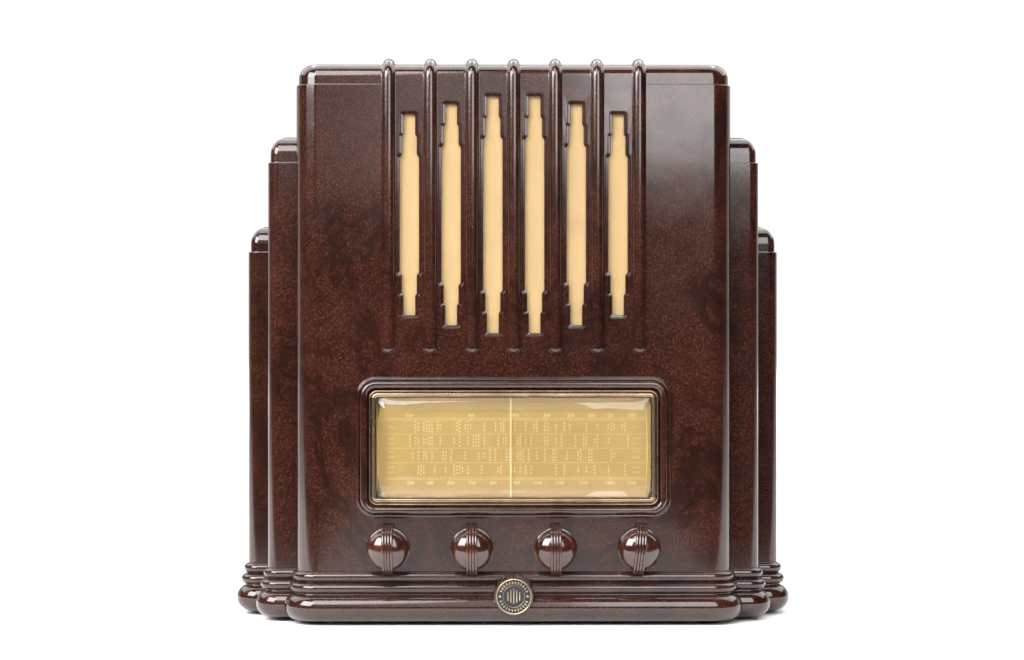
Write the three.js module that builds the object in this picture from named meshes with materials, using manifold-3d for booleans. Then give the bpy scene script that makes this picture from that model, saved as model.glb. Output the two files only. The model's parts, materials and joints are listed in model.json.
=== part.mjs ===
// Tabletop radio in a stepped moulded case, with its works inside. Millimetres, +Z up, the front faces -Y.
import * as THREE from "three";
import { mergeVertices } from "three/addons/utils/BufferGeometryUtils.js";
import Module from "manifold-3d";

// ---- Case: three steps, each narrower, taller and further forward than the one outside it
const CASE_DEPTH = 255; // front panel to back edge
const CASE_TOP = 427.3; // top of the middle step, without its ribs
const MAIN_HALF = 166.4;
const MID_REACH = 23.5; // how far the second step stands out beyond the middle one
const OUTER_REACH = 19.4;
const MID_SETBACK = 28; // how far behind the front panel the second step starts
const OUTER_SETBACK = 41;
const MID_DROP = 53.3; // how far below the middle step's top the second one ends
const OUTER_DROP = 67.7;
const WALL = 4.5;
const FLOOR = 5;
const FOOT_HEIGHT = 2.7;
const CAP_INSET = 1.8;
const MAIN_CORNER = 18;
const WING_CORNER = 9;
const MAIN_ROLL = 11;
const WING_ROLL = 14;
const MAIN_CAP = 15.9; // ledge to top
const WING_CAP = 20.2;
const LEDGE_EASE = 0.9;
const CORNER_STEPS = 4;
const ROLL_STEPS = 4;
const SMALLEST_CORNER = 0.6;

// ---- Beads round the foot of every step: radius, height of centre above the underside, centre's inset
const TORUS = { radius: 10.6, height: 10.6, inset: 1.1, from: -90, to: 72, steps: 6 };
const LOWER_BEAD = { radius: 4, height: 25.3, inset: -1.8, from: -65, to: 75, steps: 3 };
const UPPER_BEAD = { radius: 4, height: 33.8, inset: 0.4, from: -65, to: 82, steps: 3 };
const BEAD_GROOVE = 0.4;

// ---- Ribs and the slots between them
const RIB_COUNT = 7;
const RIB_PITCH = 31.75;
const RIB_RADIUS = 4.6;
const RIB_SINK = 2;
const RIB_SIDES = 5;
const RIB_END = 4; // length of the rounded lower end
const RIB_FOOT_GAP = 18.4; // dial frame to the ribs' lower ends
const GRILLE_DROP = 25.3; // case top to the tallest slot
const GRILLE_FOOT_GAP = 15.5; // ribs' lower ends to the tallest slot
const SLOT_SHORTER = [0, 6, 13.7]; // each pair of slots outward from the middle, per end
const SLOT_STEP = 15.4;
const SLOT_HALF_WIDTHS = [4.35, 5.55, 7.25];
const SLOT_CHAMFER = 2.4;

// ---- Dial
const DIAL_Z = 135;
const WINDOW_HALF = [104.2, 38.3];
const WINDOW_CORNER = 4;
const BEZEL_BAND = [5.6, 5.3];
const BEZEL_HEIGHT = 3;
const BEZEL_SEAT = 2.8; // how far the bezel laps over the edge of the case's opening
const FRAME_WIDTH = 9.2;
const FRAME_RELIEF = 4;
const FRAME_ROUNDS = [ // from outside in: start and width across the frame, height as a share of the relief
  [0, 2.3, 0.45],
  [2.3, 6.9, 1],
];
const FRAME_CORNER = 9;
const GLASS_LIP = 2.3;
const GLASS_THICK = 2.2;
const GLASS_DOME = 5.6;
const SCALE_MARGIN = 8;
const SCALE_Y = 8; // front face of the scale plate behind the front panel
const SCALE_THICK = 1;
const PAN_DEPTH = 12;
const SHEET = 1.2;
const POINTER_WIDTH = 1.2;
const POINTER_Y = 5.6;
const POINTER_THICK = 0.8;
const POINTER_REST_X = -2.3;
const CARRIAGE = [14, 7.4, 8];
const RAIL_RADIUS = 1.5;
const RAIL_Y = 10.4;
const LAMP_PROFILE = [[0, 0], [4, 0], [4, 14], [2.6, 15], [2.6, 22], [4.2, 26], [4.2, 31], [2.4, 36], [0, 37]]; // holder, then bulb

// ---- Knobs and what they turn
const KNOB_PITCH = 63.5;
const KNOB_Z = 58.2;
const KNOB_RADIUS = 15.75;
const SKIRT_EXTRA = 0.6;
const SKIRT_DEPTH = 3.3;
const KNOB_DEPTH = 20.5;
const KNOB_SHOULDER = 9.5; // depth of the straight side, up to where the dome starts
const KNOB_GAP = 0.9; // knob to panel
const STRAP_OVERHANG = 2.5; // how far each end of the strap stands out past the knob
const STRAP_HALF_WIDTH = 4.25;
const STRAP_STAND = 3; // how far the strap stands in front of the knob
const STRAP_RIDGES = 4;
const RIDGE_HEIGHT = 0.7;
const STRAP_DEPTH = 5;
const STRAP_LEAD = 1.2; // straight part of each end behind the arch
const BAND_KNOB_TURN = 5; // where the fourth knob is left standing, in degrees clockwise
const SHAFT_RADIUS = 3.175;
const SHAFT_IN_KNOB = 14;
const SPINDLE_RADIUS = 5; // the part of the tuning shaft that the dial cord winds on
const BUSH_RADIUS = 4.7;
const CONTROL_RADIUS = 12;
const SWITCH_RADIUS = 14;
const CONTROL_LENGTH = 12;
const PANEL_HOLE_RADIUS = 4.6;
const BUSH_LENGTH = 4; // how far a control's bush stands out in front of the chassis

// ---- Badge
const BADGE_RADIUS = 13.5;
const BADGE_Z = 23.2;
const BADGE_BOSS_EXTRA = 1.5;
const BADGE_BOSS_STAND = 11.2;
const BADGE_THICK = 2;
const BADGE_RELIEF = 0.6;

// ---- Chassis and works
const CHASSIS_SIDE_GAP = 10;
const CHASSIS_FRONT = 40;
const CHASSIS_BACK_GAP = 20;
const CHASSIS_SHEET = 2;
const CHASSIS_HEADROOM = 2; // widest control to the chassis top
const DRUM_TRAVEL = 190; // how far half a turn of the drum moves the pointer
const DRUM_Y = 27;
const DRUM_WIDTH = 6;
const GANG_Z = 140;
const GANG_SHAFT_RADIUS = 4;
const GANG_FRONT = 60;
const GANG_LENGTH = 84;
const GANG_HALF_WIDTH = 33;
const VANE_RADIUS = 29;
const VANE_COUNT = 4;
const VANE_THICK = 1.6;
const GANG_PLATE = 3;
const GANG_BAR_HALF = 5;
const STATOR_REACH = [-24, 10]; // below and above the rotor's axis
const DRUM_RIM = 5;
const DRUM_FLANGE = 1.5; // how far the rim's edges stand out beside the cord
const DRUM_HUB = 4;
const VALVE_BASE_HEIGHT = 26;
const VALVE_BASE_RADIUS = 16.5;
const VALVE_GLASS_HEIGHT = 74;
const VALVE_GLASS_RADIUS = 22;
const IF_CAN_HALF = 17;
const IF_CAN_HEIGHT = 88;
const FILTER_CAN_RADIUS = 14;
const FILTER_CAN_HEIGHT = 92;
const CORE_SIZE = [62, 56, 74];
const WINDING_SIZE = [38, 76, 42];

// ---- Speaker
const BAFFLE_HALF_WIDTH = 110;
const BAFFLE_THICK = 8;
const CLOTH_THICK = 0.6;
const CLOTH_MARGIN = 4;
const SPEAKER_FLANGE = 9;
const SPEAKER_DEPTH = 58;
const BASKET_THICK = 1.6;
const BASKET_WINDOW = { halfWidth: 9, fromFront: 14, fromBack: 10 };
const CONE_FRONT = 3; // edge of the cone behind the frame's front
const CONE_NECK = 37; // where the cone meets its coil
const COIL_END = 50;
const CONE_THICK = 1;
const CONE_CLEARANCE = 3;
const FIELD_COIL_RADIUS = 44;
const FIELD_COIL_DEPTH = 48;
const OUTPUT_CORE_SIZE = [38, 30, 30];

// ---- Back
const COVER_THICK = 3;
const COVER_RECESS = 3;
const VENT_HALF_WIDTH = 1.5;
const VENT_LENGTH = 56;
const VENT_PITCH = 14;
const VENTS_PER_ROW = 8;
const COVER_SCREW_RADIUS = 1.5;
const SCREW_HEAD_RADIUS = 4.4;
const SCREW_HEAD_HEIGHT = 2.2;
const SCREW_LENGTH = 18;
const COVER_BOSS = 16;
const COVER_BOSS_DEPTH = 48;
const GROMMET_RADIUS = 6;
const GROMMET_BORE = 1.7;
const GROMMET_LIP = 2.5;
const GROMMET_LIP_DEPTH = 2;
const TERMINAL_STRIP = [44, 1.6, 14];
const TERMINAL_PITCH = 24;
const TERMINAL_RADIUS = 3.2;
const FOOT_RADIUS = 11;
const FOOT_INSET = 16;

// ---- Clearances
const FIT = 0.3; // between a piece and the hole or recess that holds it
const RUNNING = 0.4; // between a shaft and the plate it turns in
const SNUG = 0.15; // between a shaft and what is fixed on it

// ---- Derived
const STRAP_HALF_LENGTH = KNOB_RADIUS + STRAP_OVERHANG;
const MID_HALF = MAIN_HALF + MID_REACH;
const OUTER_HALF = MID_HALF + OUTER_REACH;
const MID_TOP = CASE_TOP - MID_DROP;
const OUTER_TOP = MID_TOP - OUTER_DROP;
const MAIN_STEP = { half: MAIN_HALF, front: 0, top: CASE_TOP, corner: MAIN_CORNER, roll: MAIN_ROLL, cap: MAIN_CAP };
const MID_STEP = { half: MID_HALF, front: MID_SETBACK, top: MID_TOP, corner: WING_CORNER, roll: WING_ROLL, cap: WING_CAP };
const OUTER_STEP = {
  half: OUTER_HALF,
  front: MID_SETBACK + OUTER_SETBACK,
  top: OUTER_TOP,
  corner: WING_CORNER,
  roll: WING_ROLL,
  cap: WING_CAP,
};
const STEPS = [MAIN_STEP, MID_STEP, OUTER_STEP];
const FLOOR_TOP = FOOT_HEIGHT + FLOOR;
const BEZEL_HALF = [WINDOW_HALF[0] + BEZEL_BAND[0], WINDOW_HALF[1] + BEZEL_BAND[1]];
const OPENING_HALF = BEZEL_HALF.map((v) => v - BEZEL_SEAT);
const FRAME_HALF = BEZEL_HALF.map((v) => v + FIT + FRAME_WIDTH);
const SCALE_HALF = WINDOW_HALF.map((v) => v + SCALE_MARGIN);
const RIB_FOOT_Z = DIAL_Z + FRAME_HALF[1] + RIB_FOOT_GAP;
const GRILLE_TOP = CASE_TOP - GRILLE_DROP;
const GRILLE_BOTTOM = RIB_FOOT_Z + GRILLE_FOOT_GAP;
const GRILLE_Z = (GRILLE_TOP + GRILLE_BOTTOM) / 2;
const GRILLE_HALF = (GRILLE_TOP - GRILLE_BOTTOM) / 2;
const SPEAKER_RADIUS = GRILLE_HALF + CLOTH_MARGIN;
const BAFFLE_Y = WALL + CLOTH_THICK;
const SPEAKER_Y = BAFFLE_Y + BAFFLE_THICK;
const CHASSIS_HALF = MAIN_HALF - WALL - CHASSIS_SIDE_GAP;
const CHASSIS_TOP = KNOB_Z + SWITCH_RADIUS + CHASSIS_HEADROOM + CHASSIS_SHEET;
const CHASSIS_BACK = CASE_DEPTH - CHASSIS_BACK_GAP;
const DRUM_RADIUS = DRUM_TRAVEL / Math.PI;
const COVER_FRONT = CASE_DEPTH - COVER_RECESS - COVER_THICK;
const COVER_BACK = COVER_FRONT + COVER_THICK;
const KNOB_FRONT = -(KNOB_GAP + KNOB_DEPTH + STRAP_STAND + RIDGE_HEIGHT);
const MIDDLE_Y = (KNOB_FRONT + CASE_DEPTH) / 2;

const wasm = await Module();
wasm.setup();
const group = new THREE.Group();

// ---- Solids -----------------------------------------------------------------------------------------------

const V = (x, y, z) => new THREE.Vector3(x, y, z);
const radians = (degrees) => (degrees * Math.PI) / 180;
const span = (from, to, steps) => Array.from({ length: steps + 1 }, (_, i) => from + ((to - from) * i) / steps);

// A closed solid from a geometry: equal points are joined and flat triangles dropped.
function solid(geometry) {
  const source = geometry.index ? geometry.toNonIndexed() : geometry;
  const bare = new THREE.BufferGeometry();
  bare.setAttribute("position", source.getAttribute("position").clone());
  const merged = mergeVertices(bare, 1e-4);
  const at = merged.getAttribute("position");
  const index = merged.index.array;
  const corner = [V(0, 0, 0), V(0, 0, 0), V(0, 0, 0)];
  const faces = [];
  let volume = 0;
  for (let i = 0; i < index.length; i += 3) {
    const [a, b, c] = index.slice(i, i + 3);
    if (a === b || b === c || c === a) continue;
    faces.push(a, b, c);
    [a, b, c].forEach((v, k) => corner[k].fromBufferAttribute(at, v));
    volume += corner[0].dot(corner[1].clone().cross(corner[2]));
  }
  if (volume < 0) faces.reverse();
  const mesh = new wasm.Mesh({
    numProp: 3,
    vertProperties: Float32Array.from(at.array),
    triVerts: Uint32Array.from(faces),
  });
  return new wasm.Manifold(mesh);
}

function capFaces(ring, put) {
  const normal = V(0, 0, 0);
  ring.forEach((p, i) => normal.add(p.clone().cross(ring[(i + 1) % ring.length])));
  normal.normalize();
  const across = V(0, 0, 0).subVectors(ring[1], ring[0]).normalize();
  const up = normal.clone().cross(across);
  const flat = ring.map((p) => new THREE.Vector2(p.dot(across), p.dot(up)));
  THREE.ShapeUtils.triangulateShape(flat, []).forEach(([a, b, c]) => {
    const turn = flat[b].clone().sub(flat[a]).cross(flat[c].clone().sub(flat[a]));
    if (turn > 0) put(ring[a], ring[b], ring[c]);
    else put(ring[a], ring[c], ring[b]);
  });
}

// A solid through a row of rings that have equally many points; a joined row closes on itself.
function loft(rings, joined = false) {
  const positions = [];
  const put = (...points) => points.forEach((p) => positions.push(p.x, p.y, p.z));
  const count = rings[0].length;
  rings.forEach((ring, i) => {
    if (i === rings.length - 1 && !joined) return;
    const next = rings[(i + 1) % rings.length];
    for (let j = 0; j < count; j++) {
      const k = (j + 1) % count;
      put(ring[j], ring[k], next[k]);
      put(ring[j], next[k], next[j]);
    }
  });
  if (!joined) {
    capFaces(rings[0], (a, b, c) => put(a, c, b));
    capFaces(rings.at(-1), (a, b, c) => put(a, b, c));
  }
  const geometry = new THREE.BufferGeometry();
  geometry.setAttribute("position", new THREE.Float32BufferAttribute(positions, 3));
  return solid(geometry);
}

function box(x0, x1, y0, y1, z0, z1) {
  const geometry = new THREE.BoxGeometry(x1 - x0, y1 - y0, z1 - z0);
  return solid(geometry.translate((x0 + x1) / 2, (y0 + y1) / 2, (z0 + z1) / 2));
}

// A turned solid from [radius, distance along the axis] pairs; the axis runs along Y, or along Z when upright.
function turned(profile, [x, y, z], { upright = false, sides = 20, hollow = false } = {}) {
  const points = (hollow ? [...profile, profile[0]] : profile).map(([r, h]) => new THREE.Vector2(r, h));
  const geometry = new THREE.LatheGeometry(points, sides);
  if (upright) geometry.rotateX(Math.PI / 2);
  return solid(geometry.translate(x, y, z));
}

const rod = (radius, from, to, x, z, sides = 16) =>
  turned([[0, from], [radius, from], [radius, to], [0, to]], [x, 0, z], { sides });

// Points of a rounded rectangle about the origin.
function roundedRectangle(halfWidth, halfHeight, radius, steps = 4) {
  const r = Math.max(radius, SMALLEST_CORNER);
  const corners = [
    [1, -1, -90],
    [1, 1, 0],
    [-1, 1, 90],
    [-1, -1, 180],
  ];
  return corners.flatMap(([sx, sz, start]) =>
    span(start, start + 90, steps).map((a) => [
      sx * (halfWidth - r) + r * Math.cos(radians(a)),
      sz * (halfHeight - r) + r * Math.sin(radians(a)),
    ]),
  );
}

// A ring or plate facing -Y through rounded rectangles given as [inset, y] from one outline.
const dialOutline = ([halfWidth, halfHeight], corner, inset, y, steps) =>
  roundedRectangle(halfWidth - inset, halfHeight - inset, corner - inset, steps).map(([x, z]) => V(x, y, DIAL_Z + z));
const dialPlate = (half, corner, profile, steps) =>
  loft(profile.map(([inset, y]) => dialOutline(half, corner, inset, y, steps)));
const dialRing = (half, corner, profile, steps) =>
  loft([...profile, profile[0]].slice(0, -1).map(([inset, y]) => dialOutline(half, corner, inset, y, steps)), true);

const join = (...solids) => solids.reduce((a, b) => a.add(b));
const cut = (body, ...tools) => tools.reduce((a, b) => a.subtract(b), body);

function part(name, body, [colour, roughness, metalness = 0]) {
  const mesh = body.translate([0, -MIDDLE_Y, 0]).getMesh();
  const geometry = new THREE.BufferGeometry();
  geometry.setAttribute("position", new THREE.Float32BufferAttribute(mesh.vertProperties, 3));
  geometry.setIndex(new THREE.Uint32BufferAttribute(mesh.triVerts, 1));
  const flat = geometry.toNonIndexed();
  flat.computeVertexNormals();
  const material = new THREE.MeshStandardMaterial({ color: colour, roughness, metalness });
  const made = new THREE.Mesh(flat, material);
  made.name = name;
  group.add(made);
}

const BAKELITE = [0x4a261e, 0.25];
const DARK_PLASTIC = [0x33201c, 0.3];
const BRASS = [0xa58a55, 0.35, 1];
const STEEL = [0x8d8f90, 0.4, 1];
const ALUMINIUM = [0xb9bbbd, 0.4, 1];
const CHASSIS_METAL = [0x77797a, 0.5, 1];
const GLASS = [0xd9d4c4, 0.08];
const CLOTH = [0xe8ca94, 0.9];
const BOARD = [0x6f4e33, 0.85];
const PAPER = [0x2b2724, 0.9];
const RUBBER = [0x191817, 0.85];
const BLACK_PAINT = [0x202122, 0.5, 0.4];
const WAX_WINDING = [0x8a6a3c, 0.7];

// ---- Case -------------------------------------------------------------------------------------------------

function stepOutline(step, inset, z, back) {
  const half = step.half - inset;
  const front = step.front + inset;
  const r = Math.max(step.corner - inset, SMALLEST_CORNER);
  const corner = (side, from) =>
    span(from, from - 90, CORNER_STEPS).map((a) =>
      V(side * (half - r) + r * Math.cos(radians(a)), front + r + r * Math.sin(radians(a)), z),
    );
  return [V(half, back, z), ...corner(1, 0), ...corner(-1, -90), V(-half, back, z)];
}

const beadProfile = ({ radius, height, inset, from, to, steps }) =>
  span(from, to, steps).map((a) => [
    inset - radius * Math.cos(radians(a)),
    FOOT_HEIGHT + height + radius * Math.sin(radians(a)),
  ]);

function rollProfile(inset, top, roll) {
  return span(0, 90, ROLL_STEPS).map((a) => [
    inset + roll - roll * Math.cos(radians(a)),
    top - roll + roll * Math.sin(radians(a)),
  ]);
}

function footProfile() {
  const groove = (upper) => [
    upper.inset - BEAD_GROOVE,
    FOOT_HEIGHT + upper.height - upper.radius * Math.cos(radians(15)),
  ];
  return [
    ...beadProfile(TORUS),
    groove(LOWER_BEAD),
    ...beadProfile(LOWER_BEAD),
    groove(UPPER_BEAD),
    ...beadProfile(UPPER_BEAD),
    [0, FOOT_HEIGHT + UPPER_BEAD.height + UPPER_BEAD.radius],
  ];
}

function outerStep(step) {
  const ledge = step.top - step.cap;
  const profile = [
    ...footProfile(),
    [0, ledge - LEDGE_EASE],
    [LEDGE_EASE / 2, ledge - LEDGE_EASE / 4],
    [CAP_INSET, ledge],
    ...rollProfile(CAP_INSET, step.top, step.roll),
  ];
  return loft(profile.map(([inset, z]) => stepOutline(step, inset, z, CASE_DEPTH)));
}

// The hollow inside one step, drawn in further by margin; back is where it ends.
function innerStep(step, margin, back) {
  const inset = WALL + margin;
  const roll = step.roll + CAP_INSET - WALL;
  const profile = [[inset, FLOOR_TOP + margin], ...rollProfile(inset, step.top - inset, roll)];
  return loft(profile.map(([d, z]) => stepOutline(step, d, z, back)));
}

const hollow = (margin, back) => join(...STEPS.map((step) => innerStep(step, margin, back)));

// The front between the outermost ribs, which has no ledge.
function ribPanel() {
  const half = ((RIB_COUNT - 1) / 2) * RIB_PITCH;
  const deep = CAP_INSET + MAIN_ROLL;
  const low = CASE_TOP - MAIN_CAP - MAIN_ROLL;
  const side = [
    [2 * deep, low],
    [0, low],
    ...span(0, 90, ROLL_STEPS).map((a) => [
      deep - deep * Math.cos(radians(a)),
      CASE_TOP - MAIN_ROLL + MAIN_ROLL * Math.sin(radians(a)),
    ]),
    [2 * deep, CASE_TOP],
  ];
  return loft([-half, half].map((x) => side.map(([y, z]) => V(x, y, z))));
}

function ribSection(x, y, z, lean, size) {
  const out = [0, -Math.cos(radians(lean)), Math.sin(radians(lean))];
  const at = (across, up) => V(x + across, y + up * out[1], z + up * out[2]);
  const arc = span(0, 180, RIB_SIDES).map((a) =>
    at(size * RIB_RADIUS * Math.cos(radians(a)), size * RIB_RADIUS * Math.sin(radians(a))),
  );
  return [at(size * RIB_RADIUS, -RIB_SINK), ...arc, at(-size * RIB_RADIUS, -RIB_SINK)];
}

function rib(x) {
  const deep = CAP_INSET + MAIN_ROLL;
  const end = [0.25, 0.6, 0.87, 1].map((size) =>
    ribSection(x, 0, RIB_FOOT_Z + RIB_END * (1 - Math.sqrt(1 - size ** 2)), 0, size),
  );
  const over = span(0, 90, ROLL_STEPS).map((a) =>
    ribSection(
      x,
      deep - deep * Math.cos(radians(a)),
      CASE_TOP - MAIN_ROLL + MAIN_ROLL * Math.sin(radians(a)),
      a,
      1,
    ),
  );
  return loft([...end, ...over, ribSection(x, CASE_DEPTH, CASE_TOP, 90, 1)]);
}

// One stepped slot's outline at a given growth beyond its clear opening.
function slotRing(x, halfLength, grow, y) {
  const [narrow, middle, wide] = SLOT_HALF_WIDTHS;
  const lean = grow * Math.tan(radians(22.5));
  const upper = [
    [narrow + grow, halfLength + grow],
    [narrow + grow, halfLength - SLOT_STEP + lean],
    [middle + grow, halfLength - SLOT_STEP - (middle - narrow) + lean],
    [middle + grow, halfLength - 2 * SLOT_STEP + lean],
    [wide + grow, halfLength - 2 * SLOT_STEP - (wide - middle) + lean],
  ];
  const right = [...upper, ...upper.map(([w, h]) => [w, -h]).reverse()];
  const loop = [...right, ...right.map(([w, h]) => [-w, h]).reverse()];
  return loop.map(([w, h]) => V(x + w, y, GRILLE_Z + h));
}

function slotCutters() {
  return SLOT_SHORTER.flatMap((shorter, i) =>
    [-1, 1].flatMap((side) => {
      const x = side * (i + 0.5) * RIB_PITCH;
      const ring = (grow, y) => slotRing(x, GRILLE_HALF - shorter, grow, y);
      return [
        loft([ring(0, -RIB_RADIUS), ring(0, 2 * WALL)]),
        loft([ring(2 * SLOT_CHAMFER, -SLOT_CHAMFER), ring(0, SLOT_CHAMFER)]),
      ];
    }),
  );
}

function frameMoulding() {
  const rounds = FRAME_ROUNDS.flatMap(([start, width, share]) =>
    [[0.04, 0.5], [0.25, 0.9], [0.5, 1], [0.75, 0.9], [0.96, 0.5]].map(([t, h]) => [
      start + t * width,
      -h * share * FRAME_RELIEF,
    ]),
  );
  const profile = [[0, WALL / 2], [0, 0], ...rounds, [FRAME_WIDTH, 0], [FRAME_WIDTH, WALL / 2]];
  return dialRing(FRAME_HALF, FRAME_CORNER + BEZEL_BAND[0], profile, 5);
}

const coverBossCentres = () =>
  [-1, 1].flatMap((side) => [
    [side * (OUTER_HALF - WALL - COVER_BOSS / 2), FLOOR_TOP + COVER_BOSS / 2],
    [side * (MAIN_HALF - WALL - COVER_BOSS / 2), CASE_TOP - WALL - COVER_BOSS / 2],
  ]);

function cabinetShell() {
  const badgeBoss = rod(BADGE_RADIUS + BADGE_BOSS_EXTRA, -BADGE_BOSS_STAND, WALL / 2, 0, BADGE_Z, 28);
  const ribs = span(-1, 1, RIB_COUNT - 1).map((t) => rib((t * (RIB_COUNT - 1) * RIB_PITCH) / 2));
  const steps = STEPS.map(outerStep);
  const envelope = join(...steps);
  const body = join(envelope, ribPanel(), frameMoulding(), badgeBoss, ...ribs);
  const reach = COVER_BOSS / 2 + WALL / 2;
  const bosses = coverBossCentres().map(([x, z]) =>
    box(x - reach, x + reach, COVER_FRONT - COVER_BOSS_DEPTH, COVER_FRONT, z - reach, z + reach).intersect(envelope),
  );
  const screwHoles = coverBossCentres().map(([x, z]) =>
    rod(COVER_SCREW_RADIUS + FIT, COVER_FRONT - SCREW_LENGTH - 2, COVER_BACK, x, z, 10),
  );
  const opening = dialPlate(OPENING_HALF, WINDOW_CORNER, [[0, -FRAME_RELIEF], [0, 2 * WALL]], 4);
  const knobHoles = knobPlaces().map((x) => rod(PANEL_HOLE_RADIUS, -WALL, 2 * WALL, x, KNOB_Z));
  const open = cut(body, hollow(0, CASE_DEPTH + WALL), opening, ...knobHoles, ...slotCutters());
  return cut(join(open, ...bosses), ...screwHoles);
}

// ---- Dial -------------------------------------------------------------------------------------------------

function dialBezel() {
  const [band] = BEZEL_BAND;
  const profile = [
    [0, 0],
    [0, -0.75 * BEZEL_HEIGHT],
    [0.12 * band, -BEZEL_HEIGHT],
    [0.25 * band, -0.7 * BEZEL_HEIGHT],
    [0.38 * band, -0.7 * BEZEL_HEIGHT],
    [0.6 * band, -BEZEL_HEIGHT],
    [0.85 * band, -0.7 * BEZEL_HEIGHT],
    [Math.min(...BEZEL_BAND), -0.3 * BEZEL_HEIGHT],
    [Math.min(...BEZEL_BAND), 0],
  ];
  return dialRing(BEZEL_HALF, WINDOW_CORNER + band / 2, profile, 4);
}

function dialGlass() {
  const side = Math.min(...BEZEL_BAND);
  const clear = BEZEL_HALF.map((v) => v - side - FIT);
  const lip = dialPlate(clear.map((v) => v + GLASS_LIP), WINDOW_CORNER, [[0, SNUG], [0, SNUG + GLASS_THICK]], 3);
  const dome = [
    [0, SNUG],
    [0, -0.2 * GLASS_DOME],
    [1.2, -0.45 * GLASS_DOME],
    [4.5, -0.72 * GLASS_DOME],
    [10, -0.9 * GLASS_DOME],
    [20, -GLASS_DOME],
  ];
  return join(lip, dialPlate(clear, WINDOW_CORNER, [[0, SNUG + GLASS_THICK / 2], ...dome], 3));
}

const dialScale = () =>
  dialPlate(SCALE_HALF, WINDOW_CORNER, [[0, SCALE_Y], [0, SCALE_Y + SCALE_THICK]], 2);

function carriageZ() {
  return DIAL_Z + SCALE_HALF[1] + 2 + CARRIAGE[2] / 2;
}

function dialPointer() {
  const z = carriageZ();
  const [width, depth, height] = CARRIAGE;
  const carriage = box(-width / 2, width / 2, POINTER_Y, POINTER_Y + depth, z - height / 2, z + height / 2);
  const needle = box(
    -POINTER_WIDTH / 2,
    POINTER_WIDTH / 2,
    POINTER_Y,
    POINTER_Y + POINTER_THICK,
    DIAL_Z - WINDOW_HALF[1] - 1,
    z,
  );
  return cut(join(carriage, needle), alongX(RAIL_RADIUS + RUNNING, -width, width, RAIL_Y, z)).translate([
    POINTER_REST_X,
    0,
    0,
  ]);
}

function alongX(radius, x0, x1, y, z) {
  const geometry = new THREE.CylinderGeometry(radius, radius, x1 - x0, 12).rotateZ(Math.PI / 2);
  return solid(geometry.translate((x0 + x1) / 2, y, z));
}

const pointerRail = () => alongX(RAIL_RADIUS, SHEET - SCALE_HALF[0], SCALE_HALF[0] - SHEET, RAIL_Y, carriageZ());

function dialBackplate() {
  const front = SCALE_Y + SCALE_THICK;
  const pan = cut(
    dialPlate(SCALE_HALF, WINDOW_CORNER, [[0, front], [0, front + PAN_DEPTH]], 2),
    dialPlate(SCALE_HALF, WINDOW_CORNER, [[SHEET, front - 1], [SHEET, front + PAN_DEPTH - SHEET]], 2),
  );
  const top = DIAL_Z + SCALE_HALF[1];
  const ears = [-1, 1].map((side) => {
    const edges = [side * SCALE_HALF[0], side * (SCALE_HALF[0] - SHEET)].sort((a, b) => a - b);
    return box(...edges, front, front + PAN_DEPTH / 2, top - 3 * WINDOW_CORNER, carriageZ() + CARRIAGE[2] / 2);
  });
  return join(pan, ...ears);
}

function dialLamp(x) {
  const foot = DIAL_Z - SCALE_HALF[1] + SHEET;
  const y = SCALE_Y + SCALE_THICK + (PAN_DEPTH - SHEET) / 2;
  return turned(LAMP_PROFILE, [x, y, foot], { upright: true, sides: 12 });
}

function badge() {
  const front = -BADGE_BOSS_STAND - BADGE_THICK;
  const profile = [
    [0, -BADGE_BOSS_STAND],
    [BADGE_RADIUS, -BADGE_BOSS_STAND],
    [BADGE_RADIUS, front + BADGE_RELIEF],
    [0.93 * BADGE_RADIUS, front],
    [0.86 * BADGE_RADIUS, front],
    [0.83 * BADGE_RADIUS, front + BADGE_RELIEF],
    [0.6 * BADGE_RADIUS, front + BADGE_RELIEF],
    [0.57 * BADGE_RADIUS, front],
    [0, front],
  ];
  return turned(profile, [0, 0, BADGE_Z], { sides: 24 });
}

// ---- Controls ---------------------------------------------------------------------------------------------

function knobPlaces() {
  return [-1.5, -0.5, 0.5, 1.5].map((n) => n * KNOB_PITCH);
}

function strap(x) {
  const steps = 2 * STRAP_RIDGES;
  const top = span(-STRAP_HALF_WIDTH, STRAP_HALF_WIDTH, steps).map((across, i) => [
    across,
    i % 2 ? RIDGE_HEIGHT : 0,
  ]);
  const section = [[-STRAP_HALF_WIDTH, -STRAP_DEPTH], ...top, [STRAP_HALF_WIDTH, -STRAP_DEPTH]];
  const root = -(KNOB_GAP + SKIRT_DEPTH);
  const reach = -KNOB_DEPTH - KNOB_GAP - STRAP_STAND - root;
  const station = (y, z, ny, nz) =>
    section.map(([across, up]) => V(x + across, y + up * ny, KNOB_Z + z + up * nz));
  const arch = span(-90, 90, 8).map((a) => {
    const [c, s] = [Math.cos(radians(a)), Math.sin(radians(a))];
    const [ny, nz] = [-c / Math.abs(reach), s / STRAP_HALF_LENGTH];
    const length = Math.hypot(ny, nz);
    return station(root + reach * c, STRAP_HALF_LENGTH * s, ny / length, nz / length);
  });
  const back = root + STRAP_LEAD;
  return loft([station(back, -STRAP_HALF_LENGTH, 0, -1), ...arch, station(back, STRAP_HALF_LENGTH, 0, 1)]);
}

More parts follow.
